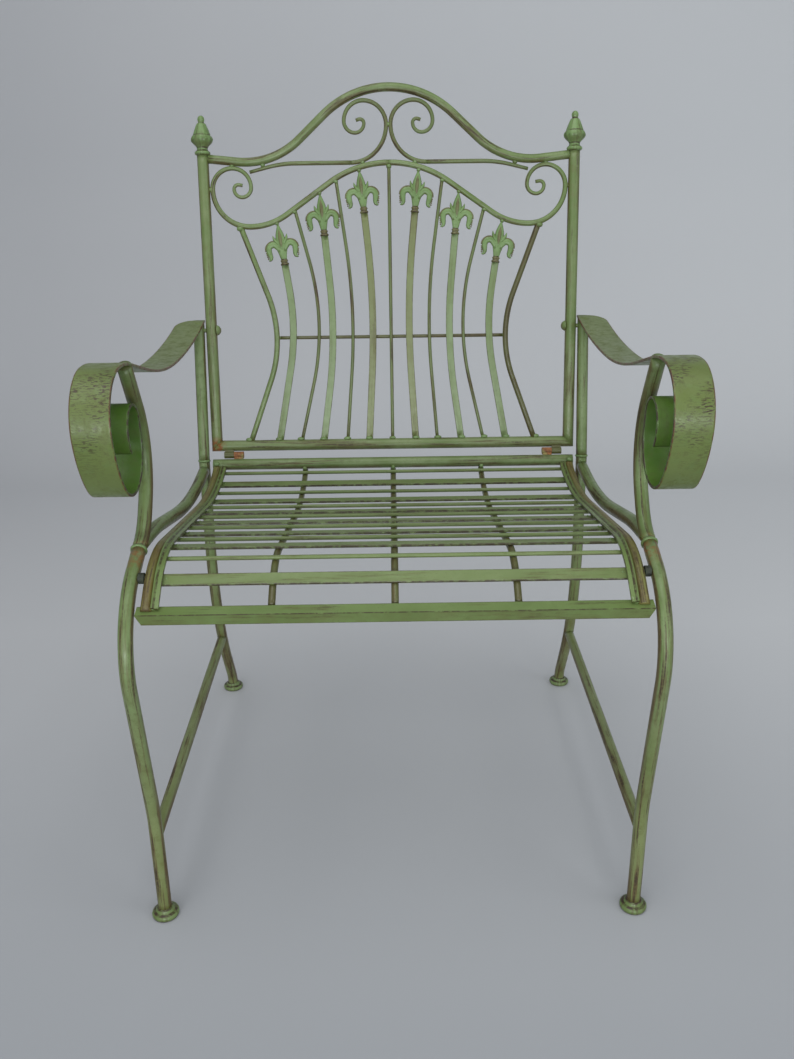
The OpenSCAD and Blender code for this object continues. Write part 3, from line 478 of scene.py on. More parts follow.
def ring(r, n=20, u=0.0):
    turns = [2 * math.pi * (k + 0.5) / n for k in range(n)]
    return [(u + r * math.cos(a), r * math.sin(a), 0.0) for a in turns]


def barSection(u, v, b=0.4, rim=1.4):  # a flat bar with softened corners and extra points near its rims
    if v >= u:
        return [(u, -v + b, 1), (u, -v + rim, 0), (u, v - rim, 0), (u, v - b, 1), (u - b, v, 1), (-u + b, v, 1),
                (-u, v - b, 1), (-u, v - rim, 0), (-u, -v + rim, 0), (-u, -v + b, 1), (-u + b, -v, 1), (u - b, -v, 1)]
    return [(u - b, -v, 1), (u, -v + b, 1), (u, v - b, 1), (u - b, v, 1), (u - rim, v, 0), (-u + rim, v, 0),
            (-u + b, v, 1), (-u, v - b, 1), (-u, -v + b, 1), (-u + b, -v, 1), (-u + rim, -v, 0), (u - rim, -v, 0)]


def bar(piece):  # one round or flat bar from its dictionary
    b = Build()
    b.sweep(piece["plane"], piece["start"], piece["segs"], piece["section"], piece.get("flip", 1),
            sharp=piece.get("sharp", False), skew=piece.get("skew", (0, 0)))
    b.finish(piece)


tubeRing = ring(tubeR, 24)
legSide = sidePlane(legX)

frontLeg = {"foot": 8.0, "bends": [(117.0,), (200.0, 10.0), (0.0,), (100.0, -78.0), (35.0,)]}
legSegs = fitRun((0, frontLeg["foot"], 90), frontLeg["bends"], frontJoint[1], 1)
frontFootY = frontJoint[0] - endOf((0, frontLeg["foot"], 90), legSegs)[0]
rearLeg = {"heading": 266.0, "bends": [(0.0,), (400.0, 35.0), (52.5,), (45.0, -31.0)]}
rearStart = (*rearJoint, rearLeg["heading"])
rearSegs = fitRun(rearStart, rearLeg["bends"], frontLeg["foot"], 1)
rearFootY = endOf(rearStart, rearSegs)[0]

armStrap = {"halfWidth": 20.0, "halfThick": 1.5, "corner": 28.0, "outward": 12.0, "overBolt": (9.1, 12.3),
            "heading": 191.0, "dip": [(6.0,), (1060.0, -11.0), (550.0, -15.5)], "frontReach": 22.3,
            "scroll": [(140.0, 19.5), (54.0, 96.0), (115.0, 31.0), (46.0, 144.0), (18.0,), (24.0, 180.0), (6.0,),
                       (30.0, 30.0)],
            "across": (-20.0, -19.6, -18.0, -9.0, 0.0, 9.0, 18.0, 19.6, 20.0), "inset": 0.45,
            "streakShift": {"left": 8.7, "right": 3.1}, "crackLength": 150.0,
            "insideFrom": (290, 60)}  # how far along the other green begins, on the outer and the inner face
strapStart = (boltPoint[0] + armStrap["overBolt"][0], boltPoint[1] + armStrap["overBolt"][1], armStrap["heading"])
strapReach = frontJoint[0] + armStrap["frontReach"]
strapSegs = fitRun(strapStart, [*armStrap["dip"], (0.0,)], strapReach, 0) + armStrap["scroll"]
strapRise = endOf(strapStart, strapSegs[:3])

armSupport = {"heading": 22.0, "bends": [(10.0,), (70.0, 34.0), (14.0,), (101.0, 64.0)], "below": 1.7, "into": 0.8}
elbow = endOf((*frontJoint, armSupport["heading"]), armSupport["bends"])
normal = math.radians(strapRise[2] + 90)
drop = (elbow[0] - strapRise[0]) * math.cos(normal) + (elbow[1] - strapRise[1]) * math.sin(normal)
elbowRun = (drop - armSupport["below"]) / math.cos(normal + math.pi - math.radians(elbow[2]))
elbowSegs = [*armSupport["bends"], (elbowRun + armSupport["into"],)]

rearPost = {"past": 10.4}  # the post ends this far past the bolt
postHeading = math.degrees(math.atan2(boltPoint[1] - rearJoint[1], boltPoint[0] - rearJoint[0]))
sideRail = {"start": (6, 3), "heading": -4.0, "bends": [(40.0,), (450.0, -7.5), (0.0,), (560.0, 17.5)],
            "rearGap": 40, "end": 31.0}
railStart = (frontJoint[0] + sideRail["start"][0], frontJoint[1] + sideRail["start"][1], sideRail["heading"])
railSegs = fitRun(railStart, sideRail["bends"], rearJoint[0] - sideRail["rearGap"], 0) + [(sideRail["end"],)]
stretcher = {"radius": 7.0, "front": 114.2, "rear": 127, "rise": 13, "gap": 6}  # heights at both legs
calf = next(s for s in stations(rearStart, rearSegs, longest=1.0) if s[1] < stretcher["rear"])
stretchTilt = math.degrees(math.atan2(stretcher["rise"], calf[0] - frontFootY))
stretchLength = math.hypot(calf[0] - frontFootY - 2 * stretcher["gap"], stretcher["rise"])

postLength = math.dist(rearJoint, boltPoint) + rearPost["past"]
frameBars = {"FrontLeg": ((frontFootY, frontLeg["foot"], 90.0), legSegs, tubeRing),
             "ArmSupport": ((*frontJoint, armSupport["heading"]), elbowSegs, tubeRing),
             "RearLeg": (rearStart, rearSegs, tubeRing),
             "RearPost": ((*rearJoint, postHeading), [(postLength,)], tubeRing),
             "SideRail": (railStart, railSegs, tubeRing),
             "Stretcher": ((frontFootY + stretcher["gap"], stretcher["front"], stretchTilt), [(stretchLength,)],
                           ring(stretcher["radius"], 24))}
for sideName, flip in sides.items():
    for name, (start, segs, section) in frameBars.items():
        bar({"name": sideName + name, "paint": "bar", "plane": legSide, "flip": flip, "start": start, "segs": segs,
             "section": section})
print("side frames built")

frontFrom = barLen(strapSegs[:4])
strapRows = stations(strapStart, strapSegs, longest=4.0)
strapFace = sidePlane(legX + armStrap["outward"])


def crackZone(run):  # how cracked the paint is along the front of the scroll
    t = (run - frontFrom) / armStrap["crackLength"]
    return max(0.0, min(1.0, (t - 0.12) * 5)) * max(0.0, min(1.0, (1.25 - t) * 2.2))


for sideName, flip in sides.items():
    b = Build()
    half, corner, shift = armStrap["halfWidth"], armStrap["corner"], armStrap["streakShift"][sideName]
    for a, u, h, run in strapRows:
        outer = half
        if run < corner:  # the rear outside corner is rounded
            outer = half - corner + math.sqrt(max(0.0, corner**2 - (corner - run) ** 2))
        s, c = math.sin(math.radians(h)), math.cos(math.radians(h))
        steps = [-half + (w + half) * (outer + half) / (2 * half) for w in armStrap["across"]]
        for face in (-armStrap["halfThick"], armStrap["halfThick"]):
            for k, w in enumerate(steps if face < 0 else steps[::-1]):
                d = face - math.copysign(armStrap["inset"] if k in (0, 8) else 0.0, face)
                b.addPoint(strapFace(a - d * s, u + d * c, w), flip, 1.0 if k in (0, 1, 7, 8) else 0.0,
                           crackZone(run) * (1.0 if face < 0 else 0.25))
    n = 2 * len(armStrap["across"])
    for i in range(len(strapRows) - 1):
        for k in range(n):
            here, ahead, e = i * n, (i + 1) * n, (k + 1) % n
            v0, v1 = (k % 9) * 0.0045, (k % 9 + 1) * 0.0045
            u0, u1 = strapRows[i][3] * mm + shift, strapRows[i + 1][3] * mm + shift
            inside = strapRows[i][3] > frontFrom + armStrap["insideFrom"][k >= 9]
            b.addFace([here + k, ahead + k, ahead + e, here + e], [(u0, v0), (u1, v0), (u1, v1), (u0, v1)], flip < 0,
                      int(inside))
    b.caps(0, len(strapRows), n, flip, (0.0, 0.0))
    b.finish({"name": sideName + "ArmStrap", "paint": ["strap", "strapInside"]})
print("arm straps built")

frontAngle = {"corner": (-80.0, -40.0), "tilt": 17.3, "endGap": 2, "stations": 60, "endCut": 5.0,
              "outline": [(0.25, 0, 1), (1.6, 0, 0), (12.6, 0, 0), (13.7, 0, 1), (14, -0.3, 1), (14, -3, 0),
                          (3, -3, 0), (3, -14, 0), (0.3, -14, 1), (0, -13.7, 1), (0, -12.6, 0), (0, -1.6, 0),
                          (0, -0.25, 1)]}
cornerY, cornerZ = frontJoint[0] + frontAngle["corner"][0], seat["crest"] + frontAngle["corner"][1]
angleHalf = legX - tubeR - frontAngle["endGap"]
c, s = math.cos(math.radians(frontAngle["tilt"])), math.sin(math.radians(frontAngle["tilt"]))
b = Build()
for x in np.linspace(-angleHalf, angleHalf, frontAngle["stations"]):
    for a, u, e in frontAngle["outline"]:
        atEnd = a < 3.1 and abs(x) > angleHalf - 0.1
        cut = max(0.0, (-u - 1.0) / 13.0) * frontAngle["endCut"] if atEnd else 0.0
        y, z = cornerY + a * c - u * s, cornerZ + a * s + u * c
        b.addPoint(((x - math.copysign(cut, x)) * mm, (y - midY) * mm, z * mm), 1, e)
n = len(frontAngle["outline"])
for i in range(frontAngle["stations"] - 1):
    for k in range(n):
        here, ahead, e = i * n, (i + 1) * n, (k + 1) % n
        u0, u1, v0 = i * 0.009, (i + 1) * 0.009, k * 0.004
        b.addFace([here + k, here + e, ahead + e, ahead + k],
                  [(u0, v0), (u0, v0 + 0.004), (u1, v0 + 0.004), (u1, v0)], True)
b.caps(0, frontAngle["stations"], n, 1, (0.0, 0.0))
b.finish({"name": "frontAngle", "paint": "angle"}, smooth=False)
bar({"name": "rearSeatRail", "paint": "bar", "plane": acrossPlane(rearRail[0], rearRail[1]),
     "start": (-seatHalf, 0.0, 0.0), "segs": [(2 * seatHalf,)], "section": tubeRing})

slats = {"count": 14, "first": 48.0, "last": 18.0, "endGap": 12.2, "flat": (1.5, 7.5), "flatDrop": 1.0, "round": 2.5}
slatHalf = seatHalf - slats["endGap"]
slatReach = barLen(seatSegs) - slats["last"] - slats["first"]
slatPoses = [along(seatStart, seatSegs, slats["first"] + i * slatReach / (slats["count"] - 1))
             for i in range(slats["count"])]
flats, rounds = Build(), Build()
for i, q in enumerate(slatPoses):
    if i % 2 == 0:
        flats.sweep(acrossPlane(*q), (-slatHalf, -slats["flatDrop"], 0.0), [(2 * slatHalf,)],
                    barSection(*slats["flat"]))
    else:
        rounds.sweep(acrossPlane(*q), (-slatHalf, 0.0, 0.0), [(2 * slatHalf,)], ring(slats["round"], 16))
flats.finish({"name": "flatSlats", "paint": "slat"}, smooth=False)
rounds.finish({"name": "roundSlats", "paint": "slat"})


def seatPath(piece):  # the seat's own curve, from a trimmed front end to a shorter bend at the rear
    return {"start": after(seatStart, (piece["trim"],)),
            "segs": [(seatSegs[0][0] - piece["trim"],), *seatSegs[1:4], (seatSegs[4][0], piece["rearBend"])]}


support = {"trim": 17.0, "rearBend": 24.0, "radius": 4.0, "below": -6.7,
           "across": {"left": -130.0, "centre": 0.0, "right": 130.0}}
for sideName, x in support["across"].items():
    bar({"name": sideName + "SeatSupport", "paint": "wornRod", "plane": sidePlane(x), **seatPath(support),
         "section": ring(support["radius"], 18, support["below"])})
seatTube = {"trim": 9.0, "rearBend": 22.0, "radius": 6.0, "above": 1.0}
slatBand = {"trim": 10.5, "rearBend": 20.0, "inner": 20.2, "outer": 12.2, "low": 2.8}
inX, outX, low = seatHalf - slatBand["inner"], seatHalf - slatBand["outer"], slatBand["low"]
bandSection = [(low, inX + 0.3, 1), (low + 2.7, inX, 1), (low + 3, inX + 0.3, 1), (low + 3, inX + 1.2, 0),
               (low + 3, inX + 4.0, 0), (low + 3, inX + 4.8, 1), (low + 3.6, inX + 5.6, 1), (low + 5.2, outX, 0),
               (low + 2.2, outX, 1), (low, inX + 4.8, 0)]
for sideName, flip in sides.items():
    bar({"name": sideName + "SeatTube", "paint": "wornTube", "plane": sidePlane(seatHalf - seatTube["radius"]),
         "flip": flip, **seatPath(seatTube), "section": ring(seatTube["radius"], 20, seatTube["above"])})
    bar({"name": sideName + "SlatBand", "paint": "angle", "plane": sidePlane(0.0), "flip": flip, **seatPath(slatBand),
         "section": bandSection, "sharp": True})
print("seat built")

topRail = {"radius": 6.0, "below": 4, "endGap": 7.6, "bends": [(134.0, -42.5), (47.0,), (113.0, 48.5), (0.0,)]}
crownSegs = fitRun((0, 0, 0), topRail["bends"], stileX, 0)
crownStart = (0.0, back["stileLength"] - topRail["below"] - endOf((0, 0, 0), crownSegs)[1], 0.0)
crownEnd, (middle, shoulder, valley) = (crownSegs[3][0] - topRail["endGap"],), topRail["bends"][:3]
bar({"name": "topRail", "paint": "bar", "plane": backPlane,
     "start": (-stileX + topRail["endGap"], atX(crownStart, crownSegs, stileX - topRail["endGap"])[1], -6.0),
     "segs": [crownEnd, valley, shoulder, (middle[0], 2 * middle[1]), shoulder, valley, crownEnd],
     "section": ring(topRail["radius"], 22)})

archRod = {"radius": 4.0, "thin": 0.6, "touch": 3.6, "scrollRadius": 3.1,
           "bends": [(150.0, -34.5), (0.0,), (94.0, 34.5), (51.0, 90.0)],
           "curl": [(28.5, 90.0), (26.0, 90.0), (13.2, 90.0), (11.0, 90.0), (6.0, 100.0), (5.0,)]}
archTouchX = stileX - tubeR - 0.2 - archRod["touch"]
archSegs = fitRun((0, 0, 0), archRod["bends"], archTouchX, 0) + archRod["curl"]
archTop = endOf((0, 0, 0), archSegs[:5])
archT = atX(crownStart, crownSegs, archTop[0])[1] - 6 - archRod["scrollRadius"] - 0.2 - archTop[1]
archStart = (0.0, archT, 0.0)
b = Build()
for flip in (-1, 1):
    b.sweep(backPlane, archStart, archSegs, ring(archRod["radius"], 18), flip, archRod["thin"], 3)
b.finish({"name": "archRod", "paint": "bar"})

upperScroll = {"radius": 3.0, "thin": 0.8, "across": 53.1, "bend": 200, "tail": [(78.0,), (170.0, -14.0), (25.0,)],
               "curl": [(50.0, 90.0), (32.0, 90.0), (27.0, 90.0), (15.5, 90.0), (12.5, 90.0), (5.5, 110.0), (4.0,)]}
scrollX, scrollBend = upperScroll["across"], upperScroll["bend"]
scrollT = archT - scrollBend + math.sqrt((scrollBend + 7 + 0.3) ** 2 - scrollX**2)
scrollRing = ring(upperScroll["radius"], 16)

# a row of uprights is (across at the waist, at the bottom, at the arch, radius of the bow)
outerRod = {"row": (166.7, 213.0, 213.5, 175.0), "radius": 4.0, "bottomGap": 7.6, "topGap": 3.6}
thinRod = {"rows": [(104.8, 136.5, 135.0, 400.0), (55.6, 67.3, 75.5, 900.0)], "radius": 2.5, "bottomGap": 7.6,
           "topGap": 3.6, "middleGap": 11.0}
flatBar = {"rows": [(142.5, 169.0, 160.6, 350.0), (85.0, 103.0, 98.9, 800.0), (26.5, 34.8, 42.2, 1500.0)],
           "section": (5.0, 1.5, 0.4, 1.2), "bottomGap": 7.8, "intoFleur": 0.5,
           "paint": ["mintBar", "mintBar", "oliveBar", "oliveBar", "mintBar", "mintBar"]}


def bow(r, dx, dt):
    d = math.hypot(r - dx, dt)
    return math.degrees(math.atan2(dt, r - dx) - math.acos(r / d)), math.sqrt(d * d - r * r)


def upright(row, waist, short=0.0):
    top = atX(archStart, archSegs, row[2])[1]
    ends = ((row[1] - row[0], waist), (row[2] - row[0], top - waist))
    r = min(row[3], *(0.4 * (dx * dx + dt * dt) / dx for dx, dt in ends))
    low, up = bow(r, *ends[0]), bow(r, *ends[1])
    return (row[1], 0.0, 90 + low[0]), [(low[1],), (r, -(low[0] + up[0])), (up[1] - short,)]


def uprightBar(piece, row, waist):  # a round upright, short of the bottom rail and of the arch
    start, segs = upright(row, waist, piece["topGap"])
    return {"start": after(start, (piece["bottomGap"],)), "segs": [(segs[0][0] - piece["bottomGap"],), *segs[1:]]}


for sideName, flip in sides.items():
    b = Build()
    b.sweep(backPlane, (scrollX, scrollT, 0.0), upperScroll["tail"], scrollRing, flip, upperScroll["thin"], 1)
    b.sweep(backPlane, (-scrollX, scrollT, 0.0), upperScroll["curl"], scrollRing, -flip, upperScroll["thin"], 2)
    b.finish({"name": sideName + "UpperScroll", "paint": "thin"})
    bar({"name": sideName + "OuterRod", "paint": "wornRod" if flip > 0 else "bar", "plane": backPlane, "flip": flip,
         **uprightBar(outerRod, outerRod["row"], back["outerWaist"]), "section": ring(outerRod["radius"], 18)})
    bar({"name": sideName + "Stile", "paint": "stile", "plane": backPlane, "flip": flip, "start": (stileX, 0.0, 90.0),
         "segs": [(back["stileLength"],)], "section": tubeRing, "skew": (1, 0)})
bar({"name": "backBottomRail", "paint": "stile", "plane": backPlane, "start": (-stileX, 0.0, 0.0),
     "segs": [(2 * stileX,)], "section": tubeRing, "skew": (1, -1)})
thinRing = ring(thinRod["radius"], 16)
bar({"name": "thinRod3", "paint": "thin", "plane": backPlane, "start": (0.0, thinRod["bottomGap"], 90.0),
     "segs": [(archT - thinRod["middleGap"],)], "section": thinRing})
for i, k, flip in ((1, 0, -1), (2, 1, -1), (4, 1, 1), (5, 0, 1)):
    bar({"name": f"thinRod{i}", "paint": "thin", "plane": backPlane, "flip": flip,
         **uprightBar(thinRod, thinRod["rows"][k], back["waist"]), "section": thinRing})


def arcSpine(c, r, a0, a1, w0, w1, n=8):
    turns = [math.radians(a0 + (a1 - a0) * k / n) for k in range(n + 1)]
    return [(c[0] + r * math.cos(a), c[1] + r * math.sin(a), w0 + (w1 - w0) * k / n) for k, a in enumerate(turns)]


fleur = {  # outlines are in the casting's own plane, with its foot at the top of the flat bar
    "height": 58, "reach": 4.2,
    "collar": [(5.0, 0.0, 0), (5.9, 0.2, 1), (6.1, 1.0, 1), (5.9, 2.2, 0), (4.9, 2.9, 1), (4.6, 3.3, 1), (4.6, 4.4, 0),
               (5.0, 5.2, 0), (5.6, 6.1, 0), (5.2, 7.2, 0), (4.3, 7.7, 1), (4.1, 8.4, 1)],
    "stem": {"thick": 2.3, "around": 16, "rim": 0.5,
             "spine": [(0, 6.5, 4.0), (0, 10, 4.6), (0, 15, 5.6), (0, 20, 7.0), (0, 25, 8.6), (0, 29, 9.0),
                       (0, 32.5, 7.6), (0, 36, 4.0)]},
    "leaf": {"thick": 2.9, "around": 16, "rim": 1.0,
             "spine": [(0, 20, 1.0), (0, 24, 2.9), (0, 29, 4.8), (0, 34, 6.3), (0, 38, 6.7), (0, 43, 5.9), (0, 48, 4.3),
                       (0, 53, 2.4), (0, 56.5, 1.1), (0, 58, 0.3)]},
    "rib": {"thick": 3.9, "around": 12, "rim": 1.0,
            "spine": [(0, 21, 0.4), (0, 25, 1.6), (0, 30, 2.8), (0, 36, 3.7), (0, 42, 3.2), (0, 48, 2.0),
                      (0, 54, 0.5)]},
    "sideLeaf": {"thick": 2.4, "around": 12, "rim": 1.0,
                 "spine": [(3.2, 19.0, 2.2), (5.2, 24.0, 3.4), (8.0, 28.4, 4.3),
                           *arcSpine((12.2, 23.4), 7.0, 118, 8, 4.6, 4.3), (18.9, 20.6, 4.0), (18.2, 16.8, 3.6),
                           (17.5, 13.6, 3.1), (18.0, 11.0, 2.5), (19.8, 9.4, 1.6), (21.8, 9.2, 0.5)]},
    "bud": {"thick": 2.7, "around": 10, "rim": 1.0,
            "spine": [(1.8, 26.5, 0.8), (4.2, 31.0, 2.6), (7.0, 34.4, 2.7), (9.0, 38.0, 2.0), (9.8, 41.0, 1.0),
                      (10.0, 42.6, 0.4)]},
    "vein": {"thick": 3.0, "around": 8,
             "spine": [(1.4, 10.0, 0.6), (2.4, 16.0, 0.9), (4.4, 23.0, 1.1), (7.6, 29.5, 1.0), (11.6, 31.2, 0.8),
                       (15.6, 28.0, 0.7), (17.4, 22.0, 0.6), (16.8, 16.0, 0.4)]},
    "rimBeads": {"count": 12, "size": 1.4}, "tipBeads": {"count": 4, "size": 1.25}}


def fleurPlane(q):
    c, s = math.cos(math.radians(q[2] - 90)), math.sin(math.radians(q[2] - 90))
    return lambda a, t, w: backPlane(q[0] + a * c - t * s, q[1] + a * s + t * c, w)


def mirrored(plane, turn):
    return lambda a, t, w: plane(turn * a, t, w)


for i in range(1, 7):
    row, flip = flatBar["rows"][i - 1 if i <= 3 else 6 - i], -1 if i <= 3 else 1
    lean = 90 - endOf(*upright(row, back["waist"]))[2]
    reach = fleur["reach"] / math.cos(math.radians(-atX(archStart, archSegs, row[2])[2] - lean))
    start, segs = upright(row, back["waist"], fleur["height"] + reach)
    gap = flatBar["bottomGap"]
    bar({"name": f"flatBar{i}", "paint": flatBar["paint"][i - 1], "plane": backPlane, "flip": flip,
         "start": after(start, (gap,)),
         "segs": [(segs[0][0] - gap,), segs[1], (segs[2][0] + flatBar["intoFleur"],)],
         "section": barSection(*flatBar["section"]), "sharp": True})
    plane = fleurPlane(endOf(start, segs))
    b = Build()
    b.turned(plane, fleur["collar"], around=20, slot=2)
    b.leafBlade(plane, fleur["stem"])
    b.leafBlade(plane, fleur["leaf"])
    b.leafBlade(plane, fleur["rib"], 1)
    for turn in (-1, 1):
        leafSide = mirrored(plane, turn)
        for blade in ("sideLeaf", "bud", "vein"):
            b.leafBlade(leafSide, fleur[blade])
        # the beads take the darker castLeaf and collar paints in turn: painted shade for the gaps around them
        for k in range(fleur["rimBeads"]["count"]):  # along the outer rim of a side leaf
            angle = math.radians(108 - 106 * k / 11)
            b.lump(leafSide(12.0 + 11.6 * math.cos(angle), 23.4 + 11.4 * math.sin(angle), 0.0),
                   fleur["rimBeads"]["size"] * mm, k, slot=2 - k % 2)
        for k in range(fleur["tipBeads"]["count"]):  # down its tip
            b.lump(leafSide(22.9 - 0.35 * k, 20.0 - 2.6 * k, 0.0), fleur["tipBeads"]["size"] * mm, k + 20,
                   slot=2 - k % 2)
    if flip < 0:
        b.points = [(-x, y, z) for x, y, z in b.points]
    b.finish({"name": f"fleur{i}", "paint": ["casting", "castLeaf", "collar"]})

crossRod = {"half": 163.6, "behind": 5.2, "radius": 2.5}
bar({"name": "crossRod", "paint": "wornRod",
     "plane": lambda a, u, w: backPlane(a, back["outerWaist"] + u, w - crossRod["behind"]),
     "start": (-crossRod["half"], 0.0, 0.0), "segs": [(2 * crossRod["half"],)],
     "section": ring(crossRod["radius"], 16)})

finial = {"ribs": (0.16, 19.5, 7.0), "neckRibs": (0.07, 27, 37),
          "line": [(8.0, -0.5, 0), (8.4, 0.0, 1), (10.2, 0.8, 0), (11.0, 2.6, 0), (10.8, 4.0, 0), (9.4, 5.6, 1),
                   (8.0, 6.4, 1), (7.5, 8.0, 0), (7.6, 10.0, 1), (9.0, 12.2, 0), (12.4, 15.4, 0), (14.8, 18.0, 0),
                   (15.5, 20.0, 0), (15.3, 22.4, 0), (13.8, 25.0, 0), (12.0, 26.6, 1), (12.2, 27.8, 0),
                   (11.4, 30.0, 0), (9.8, 34.0, 0), (8.0, 38.0, 0), (6.6, 41.2, 0), (5.0, 42.6, 1), (3.9, 43.6, 1),
                   (4.4, 45.0, 0), (4.8, 47.4, 0), (4.4, 49.8, 0), (3.2, 51.6, 0), (1.4, 52.6, 0), (0.3, 52.8, 0)]}


def finialRibs(t):
    deep, middle, reach = finial["ribs"]
    shallow, low, high = finial["neckRibs"]
    return deep * max(0.0, 1 - abs(t - middle) / reach) + (shallow if low < t < high else 0.0)


b = Build()
for flip in (-1, 1):
    b.turned(lambda a, t, w: backPlane(stileX + a, back["stileLength"] + t, w), finial["line"], finialRibs, flip=flip)
b.finish({"name": "finials", "paint": "casting"})

foot = {"line": [(13.6, 0.0, 0), (15.0, 0.7, 1), (15.9, 2.6, 0), (16.0, 4.2, 0), (15.4, 6.2, 0), (13.6, 7.6, 1),
                 (11.8, 8.0, 1), (10.4, 8.9, 0), (10.0, 10.4, 0), (9.3, 11.8, 1), (8.2, 12.6, 1)]}
b = Build()
for flip in (-1, 1):
    for y in (frontFootY, rearFootY):
        b.turned(lambda a, t, w: ((legX + a) * mm, (y - w - midY) * mm, t * mm), foot["line"], flip=flip)
b.finish({"name": "feet", "paint": "foot"})
print("back and feet built")

b = Build()
beadSeeds = itertools.count(1)
weld = {"frontRing": 1.5, "rearRing": 1.3, "rearAxis": 81}


def spot(place, size, stretch=(1, 1, 1)):  # one lump of weld on each side of the chair
    for flip in (-1, 1):
        b.lump(place, size * mm, next(beadSeeds) * 0.77, flip, stretch)


for flip in (-1, 1):
    for joint, angle, size, seed in ((frontJoint, armSupport["heading"], weld["frontRing"], 3.0),
                                     (rearJoint, weld["rearAxis"], weld["rearRing"], 5.0)):
        axis = (0, math.cos(math.radians(angle)), math.sin(math.radians(angle)))
        b.ringBead(legSide(*joint, 0), axis, tubeR * mm, size * mm, seed + flip, flip)
for a, t, size in ((stileX - 8, 404.5, 4.4),  # top rail to stile
                   (archTouchX + 2.5, archT + endOf((0, 0, 0), archSegs[:4])[1], 3.6),  # arch to stile
                   (archTop[0], archT + archTop[1] + 3.4, 3.4),  # arch scroll to top rail
                   (0.0, scrollT + 50, 3.0), (37.0, archT + 0.6, 3.4), (178.0, 396.4, 3.6),
                   (37.0, scrollT + 96.5, 3.2), (0.0, archT - 4.8, 3.8)):  # around the upper scrolls
    spot(backPlane(a, t, 0), size)
for row, size in ((outerRod["row"], 5.4), *((r, 3.7) for r in thinRod["rows"])):  # rods to the arch
    head = atX(archStart, archSegs, row[2])
    spot(backPlane(head[0], head[1] - 4.4, 0.6), size, (1, 1, 0.75))
for x in (213.0, 169.0, 136.5, 103.0, 67.3, 34.8, 0.0):  # uprights to the bottom rail
    spot(backPlane(x, 9.0, 0.8), 4.2 if x else 3.8, (1.3, 1, 0.7))
for row in flatBar["rows"]:  # fleurs-de-lis to the arch
    head = atX(archStart, archSegs, row[2])
    spot(backPlane(head[0], head[1] - 4.2, 0.4), 3.1)
spot(backPlane(163.8, 157.0, -4.5), 2.6)  # cross rod to outer rod
spot(legSide(frontJoint[0] + 20, frontJoint[1] + 9, 0), 6.2, (1, 1.2, 0.6))
spot(legSide(frontFootY + 8, 114, 0), 4.6, (1, 0.6, 1.3))
spot(legSide(calf[0] - 8, 126.6, 0), 4.6, (1, 0.6, 1.3))
spot(legSide(rearJoint[0] - 8, 419.5, 0), 4.6, (1, 0.6, 1.3))
for x in (0.0, 130.0):  # seat supports to both rails
    spot(sidePlane(x)(cornerY + 5, cornerZ - 4, 0), 3.4)
    spot(sidePlane(x)(rearRail[0] - 9, rearRail[1] - 5, 0), 3.2)
for q in slatPoses:
    spot(sidePlane(slatHalf - 10.6)(q[0] + 2, q[1] + 0.5, 0), 1.7, (0.8, 1.4, 0.8))
spot(sidePlane(seatHalf - 5)(cornerY + 10, cornerZ + 5, 0), 3.6, (1.2, 1, 0.8))
spot(sidePlane(seatHalf - 14)(cornerY + 9, cornerZ + 4, 0), 3.0, (1.4, 1, 0.8))
spot(sidePlane(seatHalf - 6)(rearRail[0] - 8, rearRail[1] + 3, 0), 3.6, (1.2, 1, 0.8))
spot(legSide(boltPoint[0] + 2, boltPoint[1] + 8.6, 0), 4.0, (1.6, 1.6, 0.5))
b.finish({"name": "weldBeads", "paint": "bead"})
print("weld beads built")

shownPaint = {"hinge_back_knuckles": "wornRod", "hinge_seat_knuckles": "rust", "hinge_pins": "rust",
              "arm_bolts": "bar", "arm_nuts": "bar", "seat_studs": "dark"}  # pieces shown as the frame has them
for node, paint in shownPaint.items():
    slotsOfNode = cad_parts[node].data.materials
    slotsOfNode.clear()
    slotsOfNode.append(paints[paint])

paperRoll = {"curve": 0.9, "wall": 2.3, "half": 5.0, "front": -4.0, "height": 4.5}  # in metres
g = Graph("studioPaper")
cloud = g.noise(g.place(), 0.8, 2.0)
spread = g.split(g.place())
base = g.mix(cloud, (0.485, 0.50, 0.525, 1), (0.52, 0.53, 0.55, 1))
# painted light and shade on the paper: lighter towards the right, darker towards the camera
base = g.mix(g.band(spread[0], -1.2, 1.6), base, (0.66, 0.68, 0.70, 1))
near = g.math("SUBTRACT", 1.0, g.band(spread[1], -0.9, 0.5))
g.set("Base Color", g.mix(g.math("MULTIPLY", near, 0.85), base, (0.25, 0.27, 0.30, 1)))
g.set("Roughness", g.band(cloud, 0.3, 0.7, 0.85, 0.95))
g.set("Specular IOR Level", 0.15)
curve, wall = paperRoll["curve"], paperRoll["wall"]
turns = [math.radians(k * 6) for k in range(1, 16)]
line = [(paperRoll["front"], 0.0), (wall - curve, 0.0)]
line += [(wall - curve + curve * math.sin(a), curve - curve * math.cos(a)) for a in turns]
line += [(wall, paperRoll["height"])]
paper = bpy.data.meshes.new("studioPaper")
paper.from_pydata([(x, y, z) for y, z in line for x in (-paperRoll["half"], paperRoll["half"])], [],
                  [[2 * i, 2 * i + 1, 2 * i + 3, 2 * i + 2] for i in range(len(line) - 1)])
paper.polygons.foreach_set("use_smooth", [True] * len(paper.polygons))
paper.materials.append(g.material)
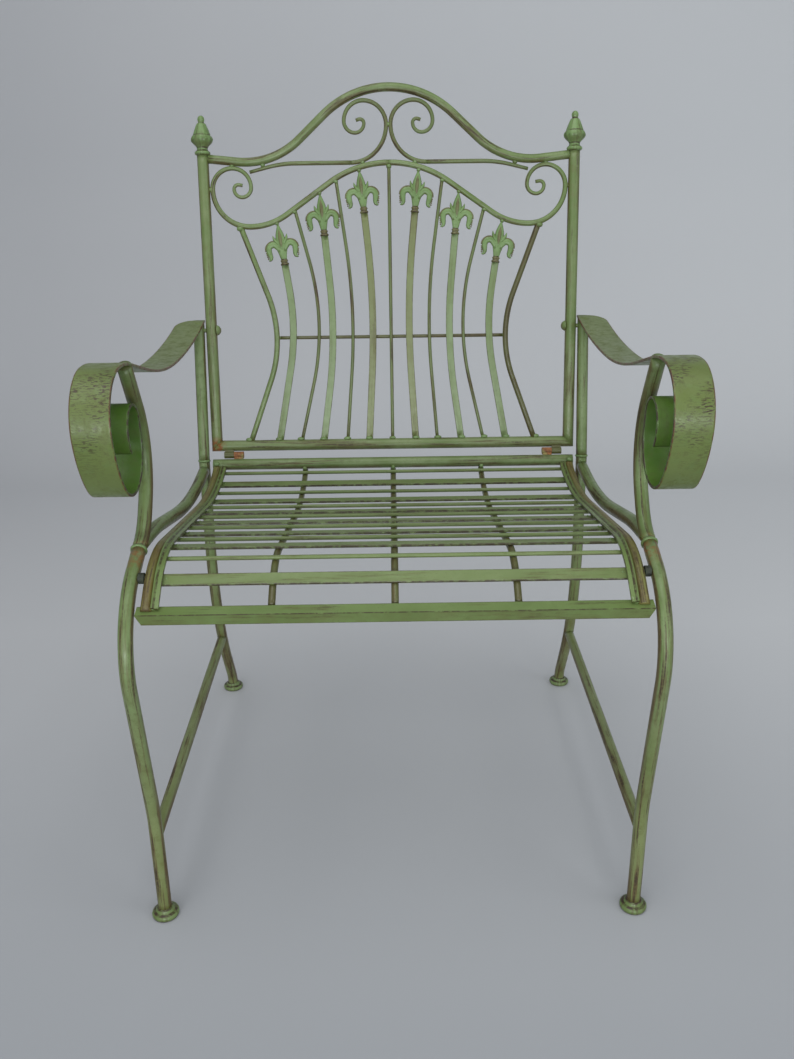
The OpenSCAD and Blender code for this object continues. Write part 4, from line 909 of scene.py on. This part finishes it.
studio = bpy.data.objects.new("studioPaper", paper)
bpy.context.scene.collection.objects.link(studio)

world = bpy.data.worlds.new("softRoom")
bpy.context.scene.world = world
world.use_nodes = True
world.node_tree.nodes["Background"].inputs[0].default_value = (0.92, 0.96, 1.0, 1)
world.node_tree.nodes["Background"].inputs[1].default_value = 0.36

lights = {  # places and sizes in metres, power in watts
    "softBoxTop": {"place": (-0.3, -0.9, 3.2), "aim": (0, 0.1, 0.3), "size": (2.6, 2.6), "power": 40,
                   "tint": (1.0, 0.985, 0.96)},
    "softBoxFront": {"place": (-1.6, -2.8, 1.9), "aim": (0, 0, 0.5), "size": (1.8, 1.8), "power": 10,
                     "tint": (1, 1, 1)},
    "windowGlow": {"place": (0.0, -2.9, 0.5), "aim": (0, 0, 0.6), "size": (2.8, 0.62), "power": 44,
                   "tint": (0.96, 0.98, 1.0)},
    "softBoxRight": {"place": (2.4, -1.4, 1.6), "aim": (0, 0.2, 0.5), "size": (1.6, 1.6), "power": 12,
                     "tint": (0.97, 0.985, 1.0)}}
for name, light in lights.items():
    data = bpy.data.lights.new(name, "AREA")
    data.shape = "RECTANGLE"
    data.size, data.size_y = light["size"]
    data.energy, data.color = light["power"], light["tint"]
    lamp = bpy.data.objects.new(name, data)
    lamp.location = light["place"]
    lamp.rotation_euler = (Vector(light["aim"]) - Vector(light["place"])).to_track_quat("-Z", "Y").to_euler()
    bpy.context.scene.collection.objects.link(lamp)

view = {"place": (-0.000385, -1.173449, 0.83485), "turn": (69.2961, 0.7076, -0.4724), "lens": 21.7564, "film": 24.0}
cameraData = bpy.data.cameras.new("camera")
cameraData.sensor_fit = "VERTICAL"
cameraData.sensor_height = view["film"]
cameraData.lens = view["lens"]
camera = bpy.data.objects.new("camera", cameraData)
camera.location = view["place"]
camera.rotation_euler = [math.radians(angle) for angle in view["turn"]]
bpy.context.scene.collection.objects.link(camera)
bpy.context.scene.camera = camera
bpy.context.scene.view_settings.view_transform = "Standard"
print("studio ready")
